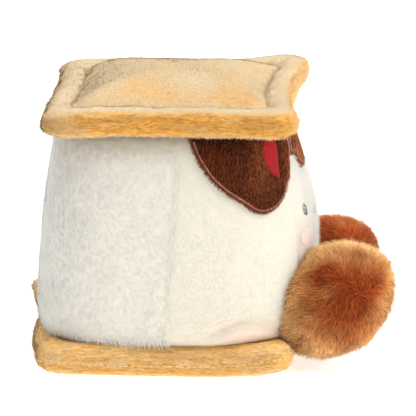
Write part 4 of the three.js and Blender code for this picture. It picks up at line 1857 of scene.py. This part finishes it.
class Chocolate:
    """The three chocolate panels: their outlines, pile and zigzag stitching."""

    TOP = 137.0
    PILE = 2.6
    SEAM_GAP = 0.4  # between a panel and the corner seam, in degrees
    ZIGZAG_INSET = 1.7
    SLOT = "chocolate_plush"

    def __init__(self, body: Marshmallow) -> None:
        """Works out the three outlines.

        Args:
            body: The marshmallow.
        """
        self.body = body
        self.front = self.front_patch()
        self.sides = {
            "left": self.side_patch("chocolate_left", 1.0, 5.0),
            "right": self.side_patch("chocolate_right", -1.0, 0.0),
        }

    def side_patch(self, name: str, side: float, setback: float) -> Patch:
        """A drip that hangs lowest near the front corner and runs up to the cracker behind.

        Args:
            name: Of the panel.
            side: 1 on the toy's left and -1 on its right.
            setback: How far back its front edge is.

        Returns:
            The panel.
        """
        seam = self.body.CORNER_SEAM - self.SEAM_GAP
        first, second = (10.0, self.TOP), (46.0, 96.0)
        third = (64.5, 109.0)
        edge = np.vstack(
            [
                [first],
                bezier([first, (23, 107), (34, 106), second], 40),
                bezier([second, (51, 92), (63.5, 91), third], 40),
                [(67.5, self.TOP)],
            ]
        )
        edge = evenly(edge, 220) - [setback, 0]
        tries = np.linspace(-20, 89, 500)
        bearing = np.empty(len(edge))
        for index, (forward, z) in enumerate(edge):
            reach = (self.body.radius(tries, np.full(tries.shape, z)) + 1.5) * np.sin(np.radians(tries))
            bearing[index] = np.interp(forward, reach, tries)
        outline = np.stack([np.minimum(bearing, seam), edge[:, 1]], 1)
        return Patch(name, self.body, side, evenly(outline, 200), (38.0, 122.0))

    def front_patch(self) -> Patch:
        """A band with a drip in its middle, from one corner seam to the other.

        Returns:
            The panel.
        """
        seam = self.body.CORNER_SEAM + self.SEAM_GAP
        low, tip, half = 121.0, 106.0, 90 - seam
        edge = np.vstack(
            [
                [(-half, self.TOP), (-half, low)],
                bezier([(-half, low), (-half * 0.4, low), (-half * 0.4, tip), (0, tip)], 40),
                bezier([(0, tip), (half * 0.4, tip), (half * 0.4, low), (half, low)], 40),
                [(half, self.TOP)],
            ]
        )
        outline = evenly(edge + [90, 0], 220)
        return Patch("chocolate_front", self.body, 1.0, outline, (90.0, 126.0))

    def covers(self, bearing: Array, z: Array, side: Array) -> Array:
        """How far the panels cover each place on the marshmallow.

        Args:
            bearing: Of each place.
            z: Each place's height.
            side: 1 on the toy's left and -1 on its right.

        Returns:
            The cover at each place.
        """
        patches = [self.front, *self.sides.values()]
        shares = [patch.covers(bearing, z, side) for patch in patches[:1]]
        for patch in patches[1:]:
            shares.append(patch.covers(bearing, z, side) * (side == patch.side))
        return np.maximum.reduce(shares)

    def build(self, shop: Workshop) -> None:
        """Makes the panels and their stitching.

        Args:
            shop: Gives tree and material.
        """
        for seed, patch in enumerate([self.front, *self.sides.values()]):
            shell = patch.shell()
            self.marks(shell, patch)
            panel = dress(shop, shell, Growth.CHOCOLATE.seeded(31 + seed), Finish.CHOCOLATE)
            mesh = join(patch.name, [panel, shop.sew(self.zigzag(patch, shell), Finish.ZIGZAG)])
            shop.keep(mesh, patch.name + "_panel", patch.name)

    def marks(self, shell: Shell, patch: Patch) -> None:
        """Says how a panel's pile lies and what shade it has.

        Args:
            shell: The panel's surface.
            patch: The panel.
        """
        rings, normals = shell.rings, shell.normals()
        tops = Patch.RINGS
        inset = np.full(rings.shape[:2], -1.0)
        inset[:tops] = patch.inset
        middle = rings[:tops].mean((0, 1))
        outward = unit(rings - middle)
        rim = ramp(2.2, 0.4, inset) * (inset >= 0)
        flow = unit(DOWN * (1 - 0.5 * rim[..., None]) + outward * (0.25 + 0.9 * rim[..., None]))
        flow = flattened(flow, normals)
        groove = bump(self.ZIGZAG_INSET, 0.7, inset)
        shell.marks = {
            "pile_density": (inset >= 0) * (1 - 0.95 * groove) * ramp(138.5, 136.5, rings[..., 2]),
            "pile_length": (self.PILE - 0.3 * rim) * MM,
            "pile_lean": flow + normals * 0.35,
            "shade": self.lightness(patch, rings),
            "glow": 0.5 * rim,
            "rise": np.zeros(rings.shape[:2]),
        }

    def lightness(self, patch: Patch, rings: Array) -> Array:
        """How light each place is: the front and the lip past the heart's fold catch more light.

        Args:
            patch: The panel.
            rings: Its surface's points.

        Returns:
            The lightness.
        """
        if patch is self.front:
            return np.full(rings.shape[:2], 0.8)
        x, y, z = np.moveaxis(rings, -1, 0)
        bearing = np.degrees(np.arctan2(-y, np.abs(x)))
        across = (bearing - self.body.crease(z)) / self.body.DEGREES_PER_MM
        lip = ramp(self.body.FOLD, self.body.FOLD + 2.0, across) * ramp(98, 112, z)
        beside = 0.6 * bump(-11, 6, across) * ramp(100, 116, z)
        return np.clip(0.75 * lip + beside, 0, 1)

    def zigzag(self, patch: Patch, shell: Shell) -> Stitches:
        """Stitching a little way in from a panel's lower edge.

        Args:
            patch: The panel.
            shell: Its surface.

        Returns:
            The stitches.
        """
        inset, normals = patch.inset, shell.normals()
        levels, step = np.arange(len(inset)), np.arange(inset.shape[1])
        ring = np.array([np.interp(-self.ZIGZAG_INSET, -column, levels) for column in inset.T])
        low = np.clip(ring.astype(int), 0, len(inset) - 2)
        share = (ring - low)[:, None]
        line = shell.rings[low, step] * (1 - share) + shell.rings[low + 1, step] * share
        ups = unit(normals[low, step] * (1 - share) + normals[low + 1, step] * share)
        shown = line[:, 2] < self.TOP - 3.5
        start = int(np.argmax(~shown & np.roll(shown, -1))) + 1
        line, ups, shown = (np.roll(part, -start, axis=0) for part in (line, ups, shown))
        count = int(shown.sum())
        line, ups = line[:count] + ups[:count] * 0.25, ups[:count]
        return Stitches.along(line, ups, pitch=0.8, share=2.1, width=0.34, height=0.4, swing=44.0)


# ---- Embroidery ----
@dataclass
class Embroidery:
    """Raised satin stitching on the marshmallow or its panels.

    Attributes:
        body: The marshmallow.
    """

    body: Marshmallow

    HEART_TIP = 110.8
    HEART_HEIGHT = 24.0
    HEART_HALF = 10.0
    HEART_FLOOR = 2.9
    HEART_ROW = 0.62  # from one row of the heart's stitches to the next
    HEART_STITCH = 2.1  # from one stitch of a row to the next
    HEART_RAISED = 0.55
    EYE_RADIUS = 4.2
    EYE_CLEAR = 1.0
    EYE_COVERED = 0.7
    EYE_ROW = 0.5
    EYE_SIDE = 30.0
    EYE_Z = 88.5
    CHEEK_SIDE = 35.0
    CHEEK_Z = 75.0
    CHEEK_SIZE = (7.0, 5.5)
    CHEEK_PILE = 3.6
    SMILE_RADIUS = 6.0
    SMILE_Z = 84.0
    OVAL_RINGS = 8
    OVAL_STEPS = 48
    OVAL_FLOOR = 0.3

    def heart_outline(self) -> Array:
        """A plain heart, as distances across and up from its tip.

        Returns:
            Points round it.
        """
        half, tall = self.HEART_HALF, self.HEART_HEIGHT
        dip, low, high = tall * 0.78, tall * 0.2, tall * 1.2
        edge = np.vstack(
            [
                bezier([(0, 0), (-half * 1.3, low), (-half * 1.2, high), (0, dip)], 40),
                bezier([(0, dip), (half * 1.2, high), (half * 1.3, low), (0, 0)], 40),
            ]
        )
        return evenly(edge, 140)

    def on_panel(self, flat: Array) -> tuple[Array, Array]:
        """Bearing and height of places on the heart, given across and up from its tip.

        Args:
            flat: The places.

        Returns:
            The bearings and the heights.
        """
        z = self.HEART_TIP + flat[..., 1]
        tucked = flat[..., 0] * self.body.FOLD / self.HEART_HALF * 0.92
        across = np.where(flat[..., 0] > 0, tucked, flat[..., 0])
        return self.body.crease(z) + across * self.body.DEGREES_PER_MM, z

    def heart(self, shop: Workshop) -> None:
        """Makes the heart: a low pad covered with rows of stitches.

        Args:
            shop: Gives tree and material.
        """
        outline = self.heart_outline()
        bearing, z = self.on_panel(outline)
        middle = tuple(float(part[0]) for part in self.on_panel(np.array([[0.0, 13.0]])))
        edge = np.stack([bearing, z], 1)
        patch = Patch("heart", self.body, -1.0, edge, middle, self.HEART_FLOOR, thickness=0.5, roll=1.0)
        pad = patch.shell().mesh()
        pad.materials.append(shop.materials[Finish.RED])
        across = np.arange(-self.HEART_HALF - 1, self.HEART_HALF + 1, self.HEART_ROW)
        up = np.arange(0, self.HEART_HEIGHT + 2, self.HEART_STITCH)
        grid = np.stack(np.meshgrid(across, up), -1).reshape(-1, 2)
        draw = np.random.default_rng(5)
        odd = np.round(grid[:, 0] / self.HEART_ROW) % 2
        grid[:, 1] += self.HEART_STITCH / 2 * odd + draw.uniform(-0.35, 0.35, len(grid))
        grid = grid[inside(grid, outline * 0.97 + [0, 0.35])]
        bearing, z = self.on_panel(grid)
        height = np.full(len(grid), self.HEART_FLOOR + self.HEART_RAISED)
        places = self.body.place(bearing, z, -1.0, height)
        ups = self.body.out(bearing, z, -1.0)
        later = self.on_panel(grid + [0.25, 1.0])
        aims = unit(self.body.place(*later, -1.0, height) - places)
        reaches = draw.uniform(1.25, 1.6, len(grid))
        rows = Stitches(places, aims, ups, reaches, 0.36, 0.34)
        mesh = join("heart", [pad, shop.sew(rows, Finish.RED)])
        shop.keep(mesh, "heart_embroidery", "heart")

    def face_place(self, x: Array, z: Array, height: float) -> tuple[Array, Array]:
        """Places over the front, given sideways and up.

        Args:
            x: Sideways, from the middle.
            z: Height.
            height: Over the marshmallow.

        Returns:
            The points and the way out of the fabric at each.
        """
        tries = np.linspace(20, 90, 300)
        bearing = np.empty(x.shape)
        for index in np.ndindex(x.shape):
            level = np.full(tries.shape, z[index])
            reach = self.body.radius(tries, level) * np.cos(np.radians(tries))
            bearing[index] = np.interp(-abs(x[index]), -reach, tries)
        side = np.where(x < 0, -1.0, 1.0)
        places = self.body.place(bearing, z, side, np.full(x.shape, height))
        return places, self.body.out(bearing, z, side)

    def oval(self, name: str, x: float, z: float, size: tuple[float, float], height: float) -> Shell:
        """A low oval pad on the front.

        Args:
            name: Of the pad.
            x: Sideways, from the middle.
            z: Its height on the toy.
            size: Its width and height.
            height: How far it stands out.

        Returns:
            Its surface.
        """
        angle = -np.arange(self.OVAL_STEPS) / self.OVAL_STEPS * 2 * math.pi
        shares = (np.arange(1, self.OVAL_RINGS + 1) / self.OVAL_RINGS) ** 0.7
        ring_x = x + size[0] * shares[:, None] * np.cos(angle)
        ring_z = z + size[1] * shares[:, None] * np.sin(angle)
        surface, out = self.face_place(ring_x, ring_z, 0.0)
        thick = height * np.sqrt(np.maximum(0, 1 - shares**4))[:, None, None]
        above = surface + out * (self.OVAL_FLOOR + thick)
        below = (surface + out * self.OVAL_FLOOR)[::-1][1:]
        middle, way = (part[0] for part in self.face_place(np.array([x]), np.array([z]), 0.0))
        tip, base = middle + way * (self.OVAL_FLOOR + height), middle + way * self.OVAL_FLOOR
        shell = Shell(name, np.concatenate([above, below]), (tip, base))
        if shell.normals()[self.OVAL_RINGS // 2][0][1] > 0:
            shell.rings = shell.rings[:, ::-1]
        return shell

    def eye(self, shop: Workshop, name: str, side: float) -> None:
        """Makes one eye of level satin stitches.

        Args:
            shop: Gives tree and material.
            name: Of the eye.
            side: 1 on the toy's left and -1 on its right.
        """
        x, radius = side * self.EYE_SIDE, self.EYE_RADIUS - self.EYE_COVERED
        pad = self.oval(name, x, self.EYE_Z, (radius, radius), 0.3).mesh()
        pad.materials.append(shop.materials[Finish.BLACK])
        rows = np.arange(-radius + 0.35, radius, self.EYE_ROW)
        half = np.sqrt(radius**2 - rows**2)
        places, ups = self.face_place(np.full(rows.shape, x), self.EYE_Z + rows, 0.55)
        aims = unit(np.cross(ups, [0.0, 0.0, 1.0]))
        sewn = shop.sew(Stitches(places, aims, ups, half, width=0.3, height=0.3), Finish.BLACK)
        shop.keep(join(name, [pad, sewn]), name + "_embroidery", name)

    def smile(self, shop: Workshop) -> None:
        """Makes the smile: one curved line of stitches.

        Args:
            shop: Gives tree and material.
        """
        angle = np.radians(np.linspace(196, 344, 60))
        middle = self.SMILE_RADIUS - 0.7
        places, ups = self.face_place(middle * np.cos(angle), self.SMILE_Z + middle * np.sin(angle), 0.4)
        line = Stitches.along(places, ups, pitch=1.5, share=1.25, width=0.55, height=0.45)
        shop.keep(shop.sew(line, Finish.BLACK), "smile_embroidery", "smile")

    def cheek(self, shop: Workshop, name: str, side: float) -> None:
        """Makes one cheek: a low oval of blush pile.

        Args:
            shop: Gives tree and material.
            name: Of the cheek.
            side: 1 on the toy's left and -1 on its right.
        """
        shell = self.oval(name, side * self.CHEEK_SIDE, self.CHEEK_Z, self.CHEEK_SIZE, 0.4)
        ring, ones = np.arange(len(shell.rings)), np.ones(shell.rings.shape[:2])
        fading = np.linspace(1.0, 0.0, self.OVAL_RINGS)[np.minimum(ring, self.OVAL_RINGS - 1)]
        shell.marks = {
            "pile_density": (ring < self.OVAL_RINGS)[:, None] * ones,
            "pile_length": self.CHEEK_PILE * MM * ones,
            "pile_lean": shell.normals() * 0.6 + DOWN * 0.7,
            "shade": fading[:, None] * ones,
            "rise": 0.8 * ones,
        }
        mesh = dress(shop, shell, Growth.CHEEK.seeded(41), Finish.BLUSH)
        shop.keep(mesh, name + "_pile", name).visible_shadow = False

    def build(self, shop: Workshop) -> None:
        """Makes all the embroidery.

        Args:
            shop: Gives tree and material.
        """
        self.heart(shop)
        self.smile(shop)
        for word, side in (("left", 1.0), ("right", -1.0)):
            self.eye(shop, f"eye_{word}", side)
            self.cheek(shop, f"cheek_{word}", side)


def inside(points: Array, outline: Array) -> Array:
    """Whether each flat point is inside a closed outline.

    Args:
        points: The points.
        outline: Its corners in order.

    Returns:
        One answer for each point.
    """
    start, end = outline, np.roll(outline, -1, axis=0)
    x, y = points[:, None, 0], points[:, None, 1]
    spans = (start[:, 1] > y) != (end[:, 1] > y)
    with np.errstate(divide="ignore", invalid="ignore"):
        cross = start[:, 0] + (y - start[:, 1]) * (end[:, 0] - start[:, 0]) / (end[:, 1] - start[:, 1])
    return (spans & (x < cross)).sum(1) % 2 == 1


# ---- Feet ----
@dataclass
class Foot:
    """An egg-shaped stuffed foot with long pile that parts at its middle.

    Attributes:
        name: Of the piece and its node.
        side: 1 on the toy's left and -1 on its right.
        forward: Its centre, in front of the middle.
        height: Its centre, over the floor.
        splay: Degrees that it turns outwards.
        parting: Where the pile parts; on the far foot it marks the middle of its painted shade.
        spot: How far the darker pile reaches round the parting; wider on the far foot, as painted shade
            between the feet.
        seed: Of its relief and its pile.
    """

    name: str
    side: float
    forward: float
    height: float
    splay: float
    parting: Triple
    spot: float
    seed: int

    LONG = 40.3
    SHORT = 31.9
    WIDE = 29.0
    PROFILE_ROUNDNESS = 1.77
    FRONT_ROUNDNESS = 2.3
    RISE = 37.5
    SIDEWAYS = 36.0
    SUNK = 3.4
    GAP = 0.5  # between its fabric and what it is pressed against
    PILE = 6.0
    BACK_EXTRA = 3.5  # how much longer the pile is behind
    PATCHES = (17.0, 17.0, 17.0)
    STRAYS = (20.0, 20.0, 20.0)
    FILL = 0.85
    LEVELS = 44
    STEPS = 88

    def shell(self) -> Shell:
        """The foot's fabric, under its pile.

        Returns:
            The surface.
        """
        tilt = (np.arange(1, self.LEVELS) / self.LEVELS * math.pi)[:, None]
        angle = (np.arange(self.STEPS) / self.STEPS * 2 * math.pi)[None]
        profile, front = 2 / self.PROFILE_ROUNDNESS, 2 / self.FRONT_ROUNDNESS
        wide, short, long = (radius - self.SUNK for radius in (self.WIDE, self.SHORT, self.LONG))
        ring = signed_power(np.sin(tilt), front)
        rings = np.stack(
            [
                -signed_power(np.cos(tilt), front) * wide + 0 * angle,
                ring * signed_power(np.sin(angle), profile) * short,
                ring * signed_power(np.cos(angle), profile) * long,
            ],
            -1,
        )
        turn = Matrix.Rotation(math.radians(self.side * self.splay), 3, "Z") @ Matrix.Rotation(
            math.radians(90 - self.RISE), 3, "X"
        )
        matrix = np.array(turn)
        centre = np.array([self.side * self.SIDEWAYS, -self.forward, self.height])
        poles = [np.array([sign * wide, 0, 0]) @ matrix.T + centre for sign in (-1, 1)]
        shell = Shell(self.name, rings @ matrix.T + centre, (poles[0], poles[1]))
        shell.push(0.5 * Waves(self.seed, 26.0)(shell.rings))
        return shell

    def build(self, shop: Workshop, neighbours: Sequence[BVHTree]) -> None:
        """Makes the foot.

        Args:
            shop: Gives materials and trees.
            neighbours: The surfaces that it is pressed against.
        """
        shell = self.shell()
        shell.rings = clear_of(shell.rings, neighbours, self.GAP)
        rings, normals = shell.rings, shell.normals()
        away = rings - np.array(self.parting)
        far = np.linalg.norm(away * [1.0, 1.0, 0.8], axis=-1)
        stray = [Waves(self.seed + axis, self.STRAYS)(rings) for axis in (3, 4, 5)]
        flow = unit(flattened(away, normals)) * ramp(0, 14, far)[..., None]
        back = ramp(-82, -62, rings[..., 1])
        backward = [0.0, 1.2, 0.0] * back[..., None]
        flow = flow + 0.35 * np.stack(stray, -1) + np.array([0.0, 0.35, -0.4]) + backward
        flow = unit(flattened(flow, normals))
        blotch = Waves(self.seed + 7, self.PATCHES)(rings)
        # Darker pile round the parting; on the far foot this patch sits on its inner face and reaches
        # wider, as painted shade between the feet.
        parting_and_painted_shade = np.clip(ramp(self.spot, self.spot - 24, far) + 0.17 * blotch * ramp(42, 16, far), 0, 1)
        outer = ramp(22, 42, far) * ramp(-2.0, 0.4, blotch)
        # Glow: paler tips away from the parting, and a painted highlight on the pile that faces up.
        pale_tips_and_painted_top_light = np.clip(outer * 0.8 + 0.5 * ramp(0.6, 0.95, normals[..., 2]), 0, 1)
        shell.marks = {
            "pile_density": np.ones(far.shape),
            "pile_length": (self.PILE - 1.2 * parting_and_painted_shade + self.BACK_EXTRA * back) * MM,
            "pile_lean": flow + normals * (0.42 + 0.2 * parting_and_painted_shade)[..., None],
            "shade": parting_and_painted_shade,
            "glow": pale_tips_and_painted_top_light * (1 - parting_and_painted_shade),
            "rise": np.full(far.shape, 0.2),
        }
        mesh = dress(shop, shell, Growth.FOOT.seeded(self.seed), Finish.FOOT)
        shop.keep(mesh, self.name + "_cushion", self.name)


def tree_of(shell: Shell) -> BVHTree:
    """A search tree of a shell's surface, in mm.

    Args:
        shell: The surface.

    Returns:
        The tree.
    """
    levels, steps = shell.rings.shape[:2]
    points = shell.rings.reshape(-1, 3).tolist()
    faces = []
    for level in range(levels - 1):
        low = level * steps
        for step in range(steps):
            after = (step + 1) % steps
            faces.append((low + step, low + steps + step, low + steps + after, low + after))
    return BVHTree.FromPolygons(points, faces)


def clear_of(rings: Array, neighbours: Sequence[BVHTree], gap: float) -> Array:
    """Points moved out of their neighbours, with a small gap left.

    Args:
        rings: The points.
        neighbours: Search trees of what they press against.
        gap: That is left, in mm.

    Returns:
        The points after the move.
    """
    moved = rings.copy()
    for index in np.ndindex(rings.shape[:2]):
        for tree in neighbours:
            place = Vector(moved[index])
            found, normal, _, _ = tree.find_nearest(place)
            if (place - found).dot(normal) < gap:
                moved[index] = found + normal * gap
    return moved


# ---- Stage ----
@dataclass
class Studio:
    """The floor, the lights and the camera of a bright studio picture.

    Attributes:
        azimuth: Degrees that the camera stands round from the front.
        elevation: Degrees that it looks down.
        target: What it looks at, in mm.
        distance: From the target, in mm.
        focal_pixels: Its focal length in the picture's pixels.
        picture: The picture's width in pixels.
        sensor: The sensor's width, in mm.
    """

    azimuth: float = -86.0
    elevation: float = 14.5
    target: Triple = (0.0, -17.5, 80.6)
    distance: float = 2400.0
    focal_pixels: float = 4286.0
    picture: int = 416
    sensor: float = 36.0

    FLOOR_HALF = 6.0  # m
    PAPER = (0.95, 0.95, 0.95, 1)
    PAPER_GLOW = 0.6
    SKY_STRENGTH = 0.58
    AIM = (0, 0, 0.08)  # where the lamps point, in m
    LAMPS = {  # place in m, width in m and power in W
        "key": ((-0.35, -2.2, 1.1), 1.8, 36.0),
        "top": ((-0.3, -0.1, 2.2), 1.8, 30.0),
        "back": ((1.6, 1.2, 1.2), 1.8, 13.0),
    }

    def axes(self) -> tuple[Vector, Vector, Vector]:
        """The camera's right, up and backward directions.

        Returns:
            Three unit directions.
        """
        turn, lift = math.radians(self.azimuth), math.radians(self.elevation)
        back = Vector((math.sin(turn) * math.cos(lift), -math.cos(turn) * math.cos(lift), math.sin(lift)))
        right = Vector((math.cos(turn), math.sin(turn), 0.0))
        up = Vector((-math.sin(turn) * math.sin(lift), math.cos(turn) * math.sin(lift), math.cos(lift)))
        return right, up, back

    def camera(self) -> None:
        """Sets the camera at the picture's viewing angle."""
        lens = bpy.data.cameras.new("camera")
        lens.sensor_fit = "HORIZONTAL"
        lens.sensor_width = self.sensor
        lens.lens = self.focal_pixels / self.picture * self.sensor
        lens.clip_end = 100.0
        camera = placed("camera", lens)
        right, up, back = self.axes()
        turned = Matrix((right, up, back)).transposed().to_4x4()
        place = (Vector(self.target) + back * self.distance) * MM
        camera.matrix_world = Matrix.Translation(place) @ turned
        bpy.context.scene.camera = camera

    def lamp(self, name: str, place: Triple, size: float, power: float) -> None:
        """Adds a large soft light that faces the toy.

        Args:
            name: Of the light.
            place: Where it hangs, in metres.
            size: Its width, in metres.
            power: Its power, in watts.
        """
        light = bpy.data.lights.new(name, "AREA")
        light.shape = "DISK"
        light.size, light.energy = size, power
        holder = placed(name, light)
        aim = Vector(self.AIM) - Vector(place)
        turned = aim.to_track_quat("-Z", "Y").to_matrix().to_4x4()
        holder.matrix_world = Matrix.Translation(place) @ turned

    def build(self) -> None:
        """Makes the camera, the stage, the lights and the world."""
        self.camera()
        half = self.FLOOR_HALF
        corners = [(-half, -half, 0), (half, -half, 0), (half, half, 0), (-half, half, 0)]
        mesh = bpy.data.meshes.new("floor")
        mesh.from_pydata(corners, [], [(0, 1, 2, 3)])
        paper, wire, shader = new_material("floor_paper")
        wire.feed(shader, {"Base Color": self.PAPER, "Roughness": 1.0, "Specular IOR Level": 0.0})
        wire.feed(shader, {"Emission Color": (1, 1, 1, 1), "Emission Strength": self.PAPER_GLOW})
        mesh.materials.append(paper)
        floor = placed("floor", mesh)
        world = bpy.data.worlds.new("studio")
        world.use_nodes = True
        sky = world.node_tree.nodes["Background"]
        Wiring(world.node_tree).feed(sky, {"Color": (1, 1, 1, 1), "Strength": self.SKY_STRENGTH})
        scene = bpy.context.scene
        scene.world = world
        scene.view_settings.view_transform = "Standard"
        scene.view_settings.look = "None"
        for name, (place, size, power) in self.LAMPS.items():
            self.lamp(name, place, size, power)


UPPER = Cracker(
    "cracker_upper", 144.0, (3, 3, 3, 6), 18.0, 5.0, 1.0,
    (
        CornerBend(1, -1, (0, 0, 5.5)),
        CornerBend(1, 1, (0, 0, -1)),
        CornerBend(-1, 1, (0, -1, -1.8)),
        CornerBend(-1, -1, (0, 0, 0.5)),
    ),
    seed=71,
)
LOWER = Cracker(
    "cracker_lower", 8.0, (3, -9, 3, 6), 5.0, 8.0, 1.9,
    (
        CornerBend(1, 1, (0, 24, 10)),
        CornerBend(-1, 1, (0, 3, 2)),
        CornerBend(-1, -1, (0, 4.5, 7)),
        CornerBend(1, -1, (0, 2.5, 4)),
    ),
    seed=83,
    crest=2.5,
)
FEET = (
    # The left foot's darker patch sits on its inner face and reaches wider: painted shade between the feet.
    Foot("foot_left", 1.0, 78.1, 35.1, 5.0, (14.0, -97.0, 62.0), 44.0, 21),
    Foot("foot_right", -1.0, 89.2, 38.8, 4.0, (-62.0, -98.0, 50.0), 33.0, 22),
)


def main() -> None:
    """Builds the toy's looks in order."""
    logging.basicConfig(level=logging.INFO, format="%(name)s: %(message)s")
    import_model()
    Studio().build()
    shop = Workshop()
    UPPER.build(shop, lower=False)
    lower = LOWER.build(shop, lower=True)
    body = Marshmallow()
    chocolate = Chocolate(body)
    fabric = BodyFabric(body).build(shop, chocolate.covers)
    chocolate.build(shop)
    Embroidery(body).build(shop)
    pressed = [tree_of(fabric), tree_of(lower)]
    for foot in FEET:
        foot.build(shop, pressed)


if __name__ == "__main__":
    main()
